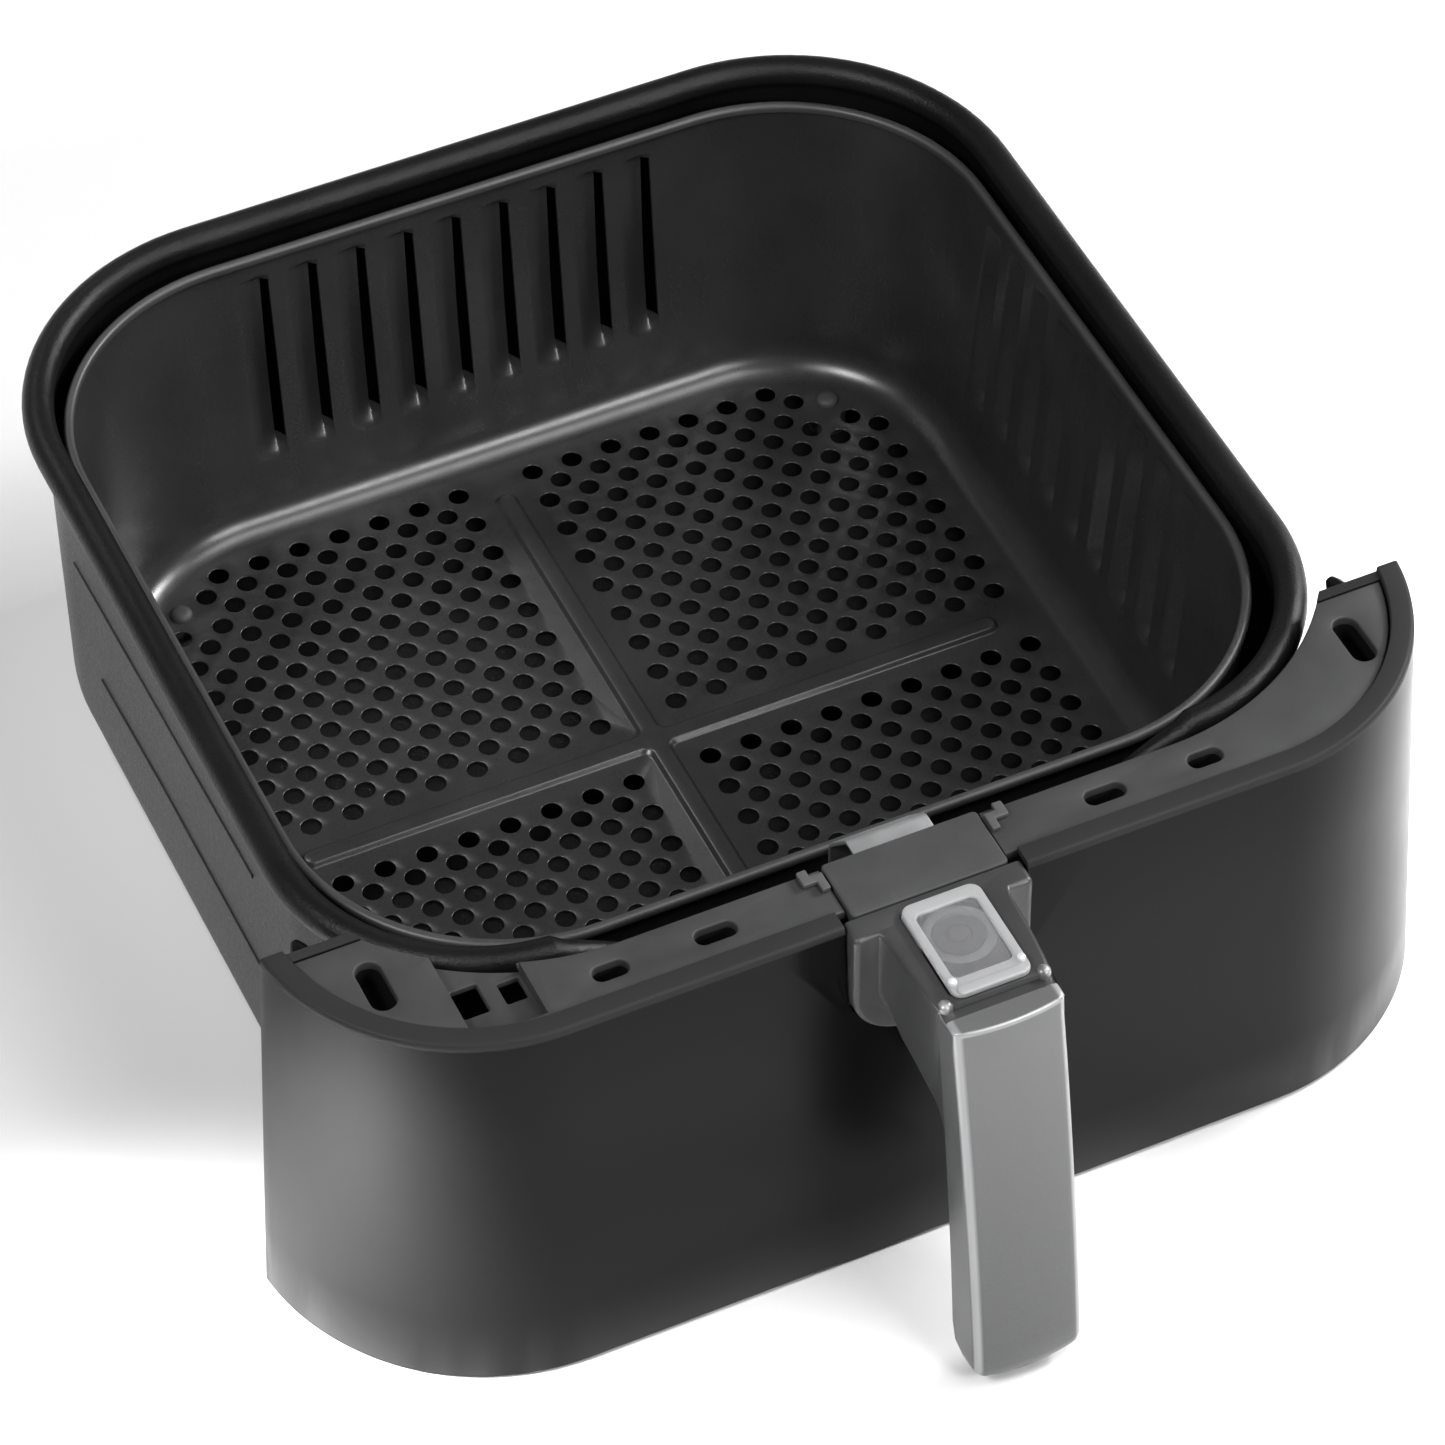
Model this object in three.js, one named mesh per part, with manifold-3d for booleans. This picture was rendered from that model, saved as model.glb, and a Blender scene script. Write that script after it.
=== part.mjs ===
// Air fryer drawer: a coated steel pan with a plastic fascia, and a perforated basket that
// lifts out of it by a handle with a guarded release button. Millimetres, +Z up, the front
// is -Y. The origin is the centre of the pan's flat underside.

import * as THREE from 'three';
import { mergeVertices } from 'three/addons/utils/BufferGeometryUtils.js';
import Module from 'manifold-3d';

const wasm = await Module();
wasm.setup();

// ---- driving dimensions ----

const GAP = 0.3; // between pieces that touch
const CORNER_STEPS = 8; // flat facets on each rounded corner

// pan: a pressed steel tray with a rolled bead around its rim
const PAN = { halfWidth: 124.5, front: -123.75, back: 123.75, radius: 56, frontRadius: 48 };
const PAN_WALL = 1;
const PAN_FILLET = 15.5;
const BEAD_CENTRE_Z = 101.1;
const BEAD_RADIUS = 3.9;
const PAN_NOTCH_HALF_WIDTH = 84; // the front wall is lower here, under the trim plates
const PAN_NOTCH_Z = 93;

// basket: outline of the rim's centre line; the walls lean in towards the floor
const BASKET = { halfWidth: 119.75, front: -118, back: 118, radius: 54.7 };
const BASKET_WALL = 0.8;
const BASKET_FLOOR_Z = 10; // upper face of the floor
const BASKET_RIM_Z = 96.7;
const BASKET_LEAN = 5; // how far the walls lean in
const BASKET_FILLET = 9;
const RIM_HALF_THICKNESS = 1.25;

// floor perforation: four quadrants of a square lattice, either side of a cross of ribs
const HOLE_RADIUS = 2.65;
const HOLE_PITCH_X = 11.1;
const HOLE_PITCH_Y = 11.16;
const HOLE_FIRST_X = 10.4;
const HOLE_FIRST_Y = 10.25;
const HOLES_PER_SIDE = 9;
const RIB_HALF_WIDTH = 3;
const RIB_HEIGHT = 1.2;
const RIB_REACH = 95;
const FOOT_OFFSET = 90.7; // silicone feet, from both centre lines

// air slots in the back, left and right walls
const SLOT_COUNT = 9;
const SLOT_PITCH = 13;
const SLOT_WIDTH = 3.4;
const SLOT_LOW_Z = 33;
const SLOT_HIGH_Z = 88;

// fascia: a U-shaped shell that flares outwards towards its bottom edge
const FASCIA = { halfWidth: 142.5, front: -154.4, back: 0, radius: 53.6 };
const FASCIA_TOP_Z = 112;
const FASCIA_BOTTOM_Z = 1.1;
const FASCIA_FLARE = 6;
const FASCIA_WALL = 2.6;
const FASCIA_BAND = 5.5; // width of the flat top edge
const WING_END_Y = -107.5;

// top trim plates, left and right of the handle bracket
const TRIM_INNER = { halfWidth: 133.5, front: -135.1, back: 0, radius: 65.6 };
const TRIM_TOP_Z = 110.4;
const TRIM_THICKNESS = 2.5;
const PEG_X = 130.5;
const PEG_Z = 101;
const COVER_HALF_WIDTH = 19.3;
const COVER_BACK_Y = -134.6;

// saddle plate of the handle, which fills a U-shaped notch in the fascia
const SADDLE_HALF_WIDTH = 22;
const SADDLE_BOTTOM_Z = 76;
const SADDLE_RADIUS = 15;
const SADDLE_BACK_Y = -151.9;
const SADDLE_FRONT_Y = -158.5;

// handle
const HANDLE_HALF_WIDTH = 13.6;
const NECK_HALF_WIDTH = 16.5; // at the saddle
const HANDLE_TOP_Z = 111;
const PANEL_THICKNESS = 2.6;
const PANEL_TOP = new THREE.Vector2(-189.8, 107.3);
const PANEL_BEND = new THREE.Vector2(-201, 57.5);
const PANEL_END = new THREE.Vector2(-206.1, 7.7);
const PANEL_BACK_Y = -186.4; // rear edge of the panel's top return

// release button, its guard and the latch
const BUTTON_Y = -165.5;
const BUTTON_RADIUS = 8.5;
const BUTTON_TOP_Z = 110.6;
const STEM_RADIUS = 1.5;
const STEM_BOTTOM_Z = 96.8;
const WELL_FLOOR_Z = 101.5;
const GUARD_HALF_WIDTH = 9.7;
const GUARD_BACK_Y = -154.3;
const GUARD_FRONT_Y = -183;
const GUARD_TRAVEL = 14;
const PIVOT_Y = -153;
const PIVOT_Z = 95;
const PIN_RADIUS = 1.5;
const LEVER_HALF_WIDTH = 3;

// steel strap from the basket to the handle
const STRAP_BACK_Y = -119.6;
const STRAP_THICKNESS = 1;
const STRAP_SHOULDER_Z = 98.5; // where it leans forwards, just above the basket's rim
const STRAP_CREST_Y = -128.4;
const STRAP_TOP_Z = 108.6;
const STRAP_FRONT_Y = -150.1;

// ---- materials ----

function material(color, roughness, metalness, opacity = 1) {
  return new THREE.MeshStandardMaterial({
    color, roughness, metalness, opacity, transparent: opacity < 1,
  });
}

const COATED_STEEL = material(0x2b2c2e, 0.5, 0.2);
const BASKET_COATING = material(0x3a3b3d, 0.45, 0.3);
const BLACK_PLASTIC = material(0x1d1d1f, 0.55, 0);
const TRIM_PLASTIC = material(0x38383a, 0.7, 0);
const HANDLE_PLASTIC = material(0x333335, 0.5, 0);
const PANEL_PAINT = material(0x8c8d8f, 0.4, 0.6);
const BARE_STEEL = material(0xb4b5b6, 0.35, 0.9);
const CLEAR_PLASTIC = material(0xc8ccd0, 0.1, 0, 0.4);
const SILICONE = material(0x5a5a5c, 0.8, 0);

// ---- solid modelling helpers ----

function toSolid(geometry) {
  const bare = geometry.clone();
  bare.deleteAttribute('normal');
  bare.deleteAttribute('uv');
  const merged = mergeVertices(bare, 1e-4);
  return new wasm.Manifold(new wasm.Mesh({
    numProp: 3,
    vertProperties: new Float32Array(merged.attributes.position.array),
    triVerts: new Uint32Array(merged.index.array),
  }));
}

function toGeometry(solid) {
  const mesh = solid.getMesh();
  const geometry = new THREE.BufferGeometry();
  geometry.setAttribute('position', new THREE.BufferAttribute(mesh.vertProperties, 3));
  geometry.setIndex(new THREE.BufferAttribute(mesh.triVerts, 1));
  return geometry;
}

function join(...solids) {
  return solids.reduce((whole, solid) => whole.add(solid));
}

function cut(whole, ...solids) {
  return solids.reduce((rest, solid) => rest.subtract(solid), whole);
}

function block(x0, x1, y0, y1, z0, z1) {
  const geometry = new THREE.BoxGeometry(x1 - x0, y1 - y0, z1 - z0);
  geometry.translate((x0 + x1) / 2, (y0 + y1) / 2, (z0 + z1) / 2);
  return toSolid(geometry);
}

// a solid turned about an axis through `place`; the profile holds [radius, height] pairs
// along `axis`, and starts and ends on it or closes on itself
const AXIS_TURNS = {
  x: new THREE.Matrix4().makeRotationZ(-Math.PI / 2),
  y: new THREE.Matrix4(),
  z: new THREE.Matrix4().makeRotationX(Math.PI / 2),
};

function turned(profile, axis, place, sides) {
  const points = profile.map(([radius, height]) => new THREE.Vector2(radius, height));
  const geometry = new THREE.LatheGeometry(points, sides);
  geometry.applyMatrix4(AXIS_TURNS[axis]);
  geometry.translate(...place);
  return toSolid(geometry);
}

function rod(radius, low, high, axis, place, sides = 10) {
  return turned([[0, low], [radius, low], [radius, high], [0, high]], axis, place, sides);
}

// outline in plan, extruded upwards
function plate(shape, z0, z1, curveSegments = 6) {
  const geometry = new THREE.ExtrudeGeometry(shape, {
    depth: z1 - z0, bevelEnabled: false, curveSegments,
  });
  geometry.translate(0, 0, z0);
  return toSolid(geometry);
}

// outline in side view, whose points are (y, z), extruded across x
const SIDE_VIEW = new THREE.Matrix4().makeBasis(
  new THREE.Vector3(0, 1, 0), new THREE.Vector3(0, 0, 1), new THREE.Vector3(1, 0, 0),
);

function sidePrism(shape, x0, x1, curveSegments = 6) {
  const geometry = new THREE.ExtrudeGeometry(shape, {
    depth: x1 - x0, bevelEnabled: false, curveSegments,
  });
  geometry.applyMatrix4(SIDE_VIEW);
  geometry.translate(x0, 0, 0);
  return toSolid(geometry);
}

// outline in front view, whose points are (x, z), extruded from yBack towards the front
const FRONT_VIEW = new THREE.Matrix4().makeBasis(
  new THREE.Vector3(1, 0, 0), new THREE.Vector3(0, 0, 1), new THREE.Vector3(0, -1, 0),
);

function frontPrism(shape, yBack, yFront, curveSegments = 6) {
  const geometry = new THREE.ExtrudeGeometry(shape, {
    depth: yBack - yFront, bevelEnabled: false, curveSegments,
  });
  geometry.applyMatrix4(FRONT_VIEW);
  geometry.translate(0, yBack, 0);
  return toSolid(geometry);
}

function polygon(points) {
  return new THREE.Shape(points.map(([u, v]) => new THREE.Vector2(u, v)));
}

// ring of points around a rounded rectangle, grown outwards by `offset`
function ring(outline, offset) {
  const { halfWidth, front, back, radius, frontRadius = radius } = outline;
  const corners = [
    [halfWidth - frontRadius, front + frontRadius, frontRadius],
    [halfWidth - radius, back - radius, radius],
    [radius - halfWidth, back - radius, radius],
    [frontRadius - halfWidth, front + frontRadius, frontRadius],
  ];
  const points = [];
  corners.forEach(([cx, cy, cornerRadius], corner) => {
    for (let step = 0; step <= CORNER_STEPS; step += 1) {
      const angle = (corner - 1 + step / CORNER_STEPS) * Math.PI / 2;
      const reach = cornerRadius + offset;
      points.push([cx + reach * Math.cos(angle), cy + reach * Math.sin(angle)]);
    }
  });
  return points;
}

// sweeps a profile of [offset, z] pairs around an outline; the profile climbs the outside
// and comes down the inside, and ends on two flat faces or closes on itself
function swept(outline, profile, closed) {
  const rings = profile.map(([offset, z]) => ring(outline, offset).map(([x, y]) => [x, y, z]));
  const count = rings[0].length;
  const at = (row, column) => (row % rings.length) * count + (column % count);
  const index = [];
  const rows = closed ? rings.length : rings.length - 1;
  for (let row = 0; row < rows; row += 1) {
    for (let column = 0; column < count; column += 1) {
      index.push(at(row, column), at(row, column + 1), at(row + 1, column + 1));
      index.push(at(row, column), at(row + 1, column + 1), at(row + 1, column));
    }
  }
  const last = rings.length - 1;
  for (let column = 1; !closed && column < count - 1; column += 1) {
    index.push(at(0, 0), at(0, column + 1), at(0, column));
    index.push(at(last, 0), at(last, column), at(last, column + 1));
  }
  const geometry = new THREE.BufferGeometry();
  geometry.setAttribute('position', new THREE.Float32BufferAttribute(rings.flat(2), 3));
  geometry.setIndex(index);
  return toSolid(geometry);
}

// quarter-circle of [offset, z] pairs from a flat floor up to a wall
function filletProfile(wallOffset, floorZ, radius, steps) {
  const points = [];
  for (let step = 0; step <= steps; step += 1) {
    const angle = (step / steps) * Math.PI / 2;
    points.push([
      wallOffset - radius + radius * Math.sin(angle),
      floorZ + radius - radius * Math.cos(angle),
    ]);
  }
  return points;
}

function roundedBar(x0, x1, y0, y1, radius) {
  const shape = new THREE.Shape();
  shape.moveTo(x0 + radius, y0);
  shape.lineTo(x1 - radius, y0);
  shape.absarc(x1 - radius, y0 + radius, radius, -Math.PI / 2, 0);
  shape.lineTo(x1, y1 - radius);
  shape.absarc(x1 - radius, y1 - radius, radius, 0, Math.PI / 2);
  shape.lineTo(x0 + radius, y1);
  shape.absarc(x0 + radius, y1 - radius, radius, Math.PI / 2, Math.PI);
  shape.lineTo(x0, y0 + radius);
  shape.absarc(x0 + radius, y0 + radius, radius, Math.PI, Math.PI * 1.5);
  return shape;
}

// U-shaped outline in front view: square at the top, rounded at the bottom
function saddleOutline(halfWidth, bottomZ, radius, topZ) {
  const shape = new THREE.Shape();
  shape.moveTo(-halfWidth, topZ);
  shape.lineTo(-halfWidth, bottomZ + radius);
  shape.absarc(-halfWidth + radius, bottomZ + radius, radius, Math.PI, Math.PI * 1.5);
  shape.lineTo(halfWidth - radius, bottomZ);
  shape.absarc(halfWidth - radius, bottomZ + radius, radius, -Math.PI / 2, 0);
  shape.lineTo(halfWidth, topZ);
  return shape;
}

// pan-head screw along y: the head is at the back, the shank points to the front
function screw(x, headBackY, headFrontY, tipY, z, radius = 1.6) {
  const headRadius = radius * 2;
  return turned([
    [0, tipY], [radius * 0.6, tipY], [radius, tipY + radius], [radius, headFrontY],
    [headRadius, headFrontY], [headRadius, headBackY - 0.6], [headRadius * 0.7, headBackY],
    [0, headBackY],
  ], 'y', [x, 0, z], 8);
}

// ---- drawer: pan, fascia and trim ----

function outerPan() {
  const inner = -PAN_WALL;
  const bead = [];
  const beadOffset = 5 - BEAD_RADIUS;
  for (let step = 0; step <= 6; step += 1) {
    const angle = -Math.PI / 3 + (step / 6) * Math.PI * 1.33;
    bead.push([
      beadOffset + BEAD_RADIUS * Math.cos(angle),
      BEAD_CENTRE_Z + BEAD_RADIUS * Math.sin(angle),
    ]);
  }
  const innerFillet = filletProfile(inner, PAN_WALL, PAN_FILLET - PAN_WALL, 4).reverse();
  const tray = swept(PAN, [
    ...filletProfile(0, 0, PAN_FILLET, 4), [0, BEAD_CENTRE_Z - BEAD_RADIUS],
    ...bead, [inner, BEAD_CENTRE_Z - BEAD_RADIUS], ...innerFillet,
  ], false);
  const notch = block(
    -PAN_NOTCH_HALF_WIDTH, PAN_NOTCH_HALF_WIDTH, PAN.front - 10, PAN.front + 20,
    PAN_NOTCH_Z, PAN_NOTCH_Z + 20,
  );
  return cut(tray, notch);
}

// distance from the fascia's outline at the top edge to its face at height z
function flareAt(z) {
  return FASCIA_FLARE * (FASCIA_TOP_Z - z) / (FASCIA_TOP_Z - FASCIA_BOTTOM_Z);
}

const BRACKET_SCREW_XS = [-78, -62, 62, 78];
const BRACKET_SCREW_Z = 50;
const BRACKET_FRONT_Y = -152.7;
const KEEPER_SCREW_XS = [-10, 10];
const KEEPER_SCREW_Z = 63;
const KEEPER_BACK_Y = -152.2;

function fasciaShell() {
  const foot = FASCIA_FLARE;
  return swept(FASCIA, [
    [foot, FASCIA_BOTTOM_Z], [1, FASCIA_TOP_Z - 1.2], [0, FASCIA_TOP_Z],
    [-FASCIA_BAND, FASCIA_TOP_Z], [-FASCIA_BAND, FASCIA_TOP_Z - 2.4],
    [-FASCIA_WALL, FASCIA_TOP_Z - 2.4],
    [foot - FASCIA_WALL, FASCIA_BOTTOM_Z + 2.5], [foot - 6, FASCIA_BOTTOM_Z + 2.5],
    [foot - 6, FASCIA_BOTTOM_Z],
  ], true);
}

// end wall that closes a wing towards the pan
function wingEnd(side) {
  const wall = frontPrism(polygon([
    [side * 116, FASCIA_BOTTOM_Z], [side * (141 + flareAt(FASCIA_BOTTOM_Z)), FASCIA_BOTTOM_Z],
    [side * 141, FASCIA_TOP_Z], [side * 116, FASCIA_TOP_Z],
  ]), WING_END_Y, WING_END_Y - FASCIA_WALL);
  const inside = swept(TRIM_INNER, [[0, 0], [0, 120]], false);
  return cut(wall, inside);
}

// tapered peg that points back from a wing's end wall
function locatingPeg(side) {
  const root = WING_END_Y + GAP;
  return turned([
    [0, root], [3.2, root], [2.6, root + 6], [0.6, root + 10], [0, root + 10],
  ], 'y', [side * PEG_X, 0, PEG_Z], 10);
}

function frontFascia() {
  const clearance = SADDLE_HALF_WIDTH + 0.5;
  const notch = frontPrism(
    saddleOutline(clearance, SADDLE_BOTTOM_Z - 0.5, SADDLE_RADIUS + 0.5, FASCIA_TOP_Z + 5),
    -140, -170,
  );
  const inFront = block(-200, 200, -200, WING_END_Y, -10, 200);
  const bosses = BRACKET_SCREW_XS.map((x) => rod(
    4, -156.5, BRACKET_FRONT_Y - GAP, 'y', [x, 0, BRACKET_SCREW_Z],
  ));
  const screwHoles = [
    ...BRACKET_SCREW_XS.map((x) => rod(1.95, -156.3, -150, 'y', [x, 0, BRACKET_SCREW_Z], 8)),
    ...KEEPER_SCREW_XS.map((x) => rod(1.6, -156.1, -150, 'y', [x, 0, KEEPER_SCREW_Z], 8)),
  ];
  const shell = fasciaShell().intersect(inFront);
  return cut(join(shell, wingEnd(-1), wingEnd(1), ...bosses), notch, ...screwHoles);
}

// plan outlines of the slots in the right-hand trim plate
function trimSlots() {
  return [
    roundedBar(118.6, 124.6, -131.4, -116.9, 2.9),
    roundedBar(69.2, 77.7, -144.2, -139.7, 2.1),
    roundedBar(43.1, 53.1, -144.2, -139.7, 2.1),
  ];
}

function trimPlate() {
  const low = TRIM_TOP_Z - TRIM_THICKNESS;
  const inset = -(FASCIA_BAND + GAP);
  const rear = WING_END_Y - FASCIA_WALL - GAP;
  const whole = swept(FASCIA, [[inset, low], [inset, TRIM_TOP_Z]], false);
  const opening = swept(TRIM_INNER, [[0, low - 1], [0, TRIM_TOP_Z + 1]], false);
  const half = block(COVER_HALF_WIDTH + 0.4, 200, -200, rear, low - 1, 120);
  const slots = trimSlots().map((shape) => plate(shape, low - 1, TRIM_TOP_Z + 1, 4));
  return cut(whole.intersect(half), opening, ...slots);
}

// the left plate has a sunken pocket with two square holes between its corner and its front
const POCKET = { x0: -108, x1: -90.6, y0: -147.2, y1: -128, floorZ: 107 };

function leftTrimPlate() {
  const { x0, x1, y0, y1, floorZ } = POCKET;
  const rim = 1.6;
  const outside = swept(FASCIA, [[-(FASCIA_BAND + GAP), 100], [-(FASCIA_BAND + GAP), 120]], false);
  const tub = cut(
    block(x0 - rim, x1 + rim, y0 - 1.2, y1, floorZ - rim, TRIM_TOP_Z).intersect(outside),
    swept(TRIM_INNER, [[0, 90], [0, 120]], false),
  );
  const holes = [-103.6, -93.7].map((x) => block(x - 3, x + 3, -138.3, -130.3, 100, 108));
  return cut(
    join(trimPlate().mirror([1, 0, 0]), tub),
    block(x0, x1, y0, y1 + 1, floorZ, TRIM_TOP_Z + 1), ...holes,
  );
}

// small spring clip that stands on the trim plate beside the handle bracket
function retentionClip(side) {
  const outline = polygon([
    [side * 20, -137], [side * 23, -137], [side * 23, -134.9], [side * 25.4, -134.9],
    [side * 25.4, -139.2], [side * 22, -139.2], [side * 22, -142], [side * 20, -142],
  ]);
  return plate(outline, TRIM_TOP_Z + GAP, TRIM_TOP_Z + 1.5);
}

// pressed steel bracket between the pan's front wall and the fascia
function panBracket(side) {
  const panFace = PAN.front - GAP;
  const outline = polygon([
    [panFace, 38.8], [panFace, 70], [panFace - 1.2, 70], [panFace - 1.2, 40],
    [BRACKET_FRONT_Y + 1.2, 40], [BRACKET_FRONT_Y + 1.2, 60], [BRACKET_FRONT_Y, 60],
    [BRACKET_FRONT_Y, 38.8],
  ]);
  const low = side > 0 ? 55 : -85;
  const holes = BRACKET_SCREW_XS.map((x) => rod(2, -154, -150, 'y', [x, 0, BRACKET_SCREW_Z], 8));
  return cut(sidePrism(outline, low, low + 30), ...holes);
}

// steel catch under the fascia's notch, which the latch hook meets
function latchKeeper() {
  const outline = polygon([
    [KEEPER_BACK_Y, 58], [KEEPER_BACK_Y, 72.8], [-150.7, 72.8], [-150.7, 74.3],
    [-153.7, 74.3], [-153.7, 58],
  ]);
  const holes = KEEPER_SCREW_XS.map((x) => rod(1.6, -155, -150, 'y', [x, 0, KEEPER_SCREW_Z], 8));
  return cut(sidePrism(outline, -14, 14), ...holes);
}

// ---- basket ----

function holeCentres() {
  const centres = [];
  const last = HOLES_PER_SIDE - 1;
  for (let i = 0; i < HOLES_PER_SIDE; i += 1) {
    for (let j = 0; j < HOLES_PER_SIDE; j += 1) {
      if (Math.min(i, j) >= last - 1) continue; // corner left for the foot
      centres.push([HOLE_FIRST_X + i * HOLE_PITCH_X, HOLE_FIRST_Y + j * HOLE_PITCH_Y]);
    }
  }
  return centres;
}

// four-sided holes of the round hole's area, one quadrant as a single set of solids
function quadrantHoles(signX, signY) {
  const reach = HOLE_RADIUS * Math.sqrt(Math.PI / 2);
  return holeCentres()
    .map(([x, y]) => rod(reach, 5, 20, 'z', [signX * x, signY * y, 0], 4))
    .reduce((all, hole) => all.add(hole));
}

function wallSlots() {
  const slots = [];
  for (let k = 0; k < SLOT_COUNT; k += 1) {
    const along = (k - (SLOT_COUNT - 1) / 2) * SLOT_PITCH;
    const low = along - SLOT_WIDTH / 2;
    const high = along + SLOT_WIDTH / 2;
    slots.push(block(low - 1, high - 1, 105, 125, SLOT_LOW_Z, SLOT_HIGH_Z));
    slots.push(block(108, 126, low, high, SLOT_LOW_Z, SLOT_HIGH_Z));
    slots.push(block(-126, -108, low, high, SLOT_LOW_Z, SLOT_HIGH_Z));
  }
  return slots;
}

function innerBasket() {
  const rimOut = RIM_HALF_THICKNESS;
  const half = BASKET_WALL / 2;
  const foot = -BASKET_LEAN;
  const underZ = BASKET_FLOOR_Z - BASKET_WALL;
  const outer = filletProfile(foot + half, underZ, BASKET_FILLET + BASKET_WALL, 3);
  const inner = filletProfile(foot - half, BASKET_FLOOR_Z, BASKET_FILLET, 3).reverse();
  const shell = swept(BASKET, [
    ...outer, [half, BASKET_RIM_Z - 3.2], [rimOut, BASKET_RIM_Z - 2.6],
    [rimOut, BASKET_RIM_Z - 0.6], [0, BASKET_RIM_Z], [-rimOut, BASKET_RIM_Z - 0.6],
    [-rimOut, BASKET_RIM_Z - 2.6], [-half, BASKET_RIM_Z - 3.2], ...inner,
  ], false);
  const ribTop = BASKET_FLOOR_Z + RIB_HEIGHT;
  const ribs = join(
    block(-RIB_REACH, RIB_REACH, -RIB_HALF_WIDTH, RIB_HALF_WIDTH, underZ + 0.3, ribTop),
    block(-RIB_HALF_WIDTH, RIB_HALF_WIDTH, -RIB_REACH, RIB_REACH, underZ + 0.3, ribTop),
  );
  const footHoles = FOOT_PLACES.map(([x, y]) => rod(2.3, 5, 20, 'z', [x, y, 0], 8));
  const rivetHoles = RIVET_XS.map((x) => rod(2, -122, -110, 'y', [x, 0, RIVET_Z], 8));
  let basket = join(shell, ribs);
  for (const [signX, signY] of [[1, 1], [1, -1], [-1, 1], [-1, -1]]) {
    basket = cut(basket, quadrantHoles(signX, signY));
  }
  return cut(basket, ...wallSlots(), ...footHoles, ...rivetHoles);
}

const FOOT_PLACES = [[1, 1], [-1, 1], [-1, -1], [1, -1]]
  .map(([signX, signY]) => [signX * FOOT_OFFSET, signY * FOOT_OFFSET]);
const RIVET_XS = [-6, 6];
const RIVET_Z = 82;

// silicone stud buttoned through the floor: it stands on the pan and shows as a small dome
function basketFoot([x, y]) {
  const under = BASKET_FLOOR_Z - BASKET_WALL - GAP;
  const over = BASKET_FLOOR_Z + GAP;
  return turned([
    [0, PAN_WALL + GAP], [4.5, PAN_WALL + GAP], [5, PAN_WALL + 1], [5, under], [1.9, under],
    [1.9, over], [2.9, over], [2.3, over + 1], [0, over + 1.4],
  ], 'z', [x, y, 0], 10);
}

// steel strap: up the basket's front wall, over the pan's edge and down behind the saddle
function basketStrap() {
  const t = STRAP_THICKNESS;
  const narrow = sidePrism(polygon([
    [STRAP_BACK_Y, 72], [STRAP_BACK_Y, STRAP_SHOULDER_Z], [STRAP_CREST_Y, STRAP_TOP_Z],
    [-132, STRAP_TOP_Z], [-132, STRAP_TOP_Z - t], [STRAP_CREST_Y - 0.4, STRAP_TOP_Z - t],
    [STRAP_BACK_Y - t, STRAP_SHOULDER_Z + 0.4], [STRAP_BACK_Y - t, 72],
  ]), -10, 10);
  const wide = sidePrism(polygon([
    [-131, STRAP_TOP_Z], [STRAP_FRONT_Y, STRAP_TOP_Z], [STRAP_FRONT_Y, 79],
    [STRAP_FRONT_Y + t, 79], [STRAP_FRONT_Y + t, STRAP_TOP_Z - t], [-131, STRAP_TOP_Z - t],
  ]), -19, 19);
  const leverSlot = block(-5, 5, -152, -147, 70, 101);
  const holes = [
    ...SADDLE_SCREWS.map(([x, z]) => rod(2.1, -152, -147, 'y', [x, 0, z], 8)),
    ...RIVET_XS.map((x) => turned([
      [0, STRAP_BACK_Y - 1.5], [3.1, STRAP_BACK_Y - 1.5], [2, STRAP_BACK_Y + 0.5],
      [0, STRAP_BACK_Y + 0.5],
    ], 'y', [x, 0, RIVET_Z], 8)),
  ];
  return cut(join(narrow, wide), leverSlot, ...holes);
}

const SADDLE_SCREWS = [[-15.5, 102], [15.5, 102], [-13, 85], [13, 85]];

// rivet with its front head countersunk in the strap
function strapRivet(x) {
  const flush = STRAP_BACK_Y - STRAP_THICKNESS;
  return turned([
    [0, flush], [2.4, flush], [1.6, STRAP_BACK_Y], [1.6, -116.1], [3, -116.1], [2.4, -115],
    [0, -115],
  ], 'y', [x, 0, RIVET_Z], 8);
}

// thin plastic cap over the strap, level with the trim plates
function bracketCover() {
  const shape = roundedBar(-COVER_HALF_WIDTH, COVER_HALF_WIDTH, -151.5, COVER_BACK_Y, 1.2);
  return plate(shape, STRAP_TOP_Z + GAP, HANDLE_TOP_Z + 0.2, 3);
}

// ---- handle ----

// the panel's front face in side view, moved back by `depth`
function panelFace(depth) {
  const curve = new THREE.QuadraticBezierCurve(PANEL_TOP, PANEL_BEND, PANEL_END);
  return curve.getPoints(6).map((point) => [point.x + depth, point.y]);
}

function frontPanel() {
  const back = panelFace(PANEL_THICKNESS).reverse();
  const [endY, endZ] = back[0];
  const outline = polygon([
    [-188.2, 109.6], ...panelFace(0), [PANEL_END.x + 0.6, 4.6], [PANEL_END.x + 3, 3.4],
    [endY + 1.6, 3.4], [endY, endZ], ...back.slice(1, -1), [-187.6, 107.6],
    [PANEL_BACK_Y, 108.4], [PANEL_BACK_Y, 110.8],
  ]);
  const bosses = PANEL_SCREWS.map(([, z, faceY]) => rod(3.2, faceY + 1, faceY + 6, 'y', [0, 0, z], 8));
  const holes = PANEL_SCREWS.map(([, z, faceY]) => rod(1.9, faceY + 2, faceY + 8, 'y', [0, 0, z], 8));
  return cut(join(sidePrism(outline, -HANDLE_HALF_WIDTH, HANDLE_HALF_WIDTH), ...bosses), ...holes);
}

// name, height and the panel's face at that height
const PANEL_SCREWS = [['upper', 58, -199.4], ['lower', 26, -203.9]];

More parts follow.
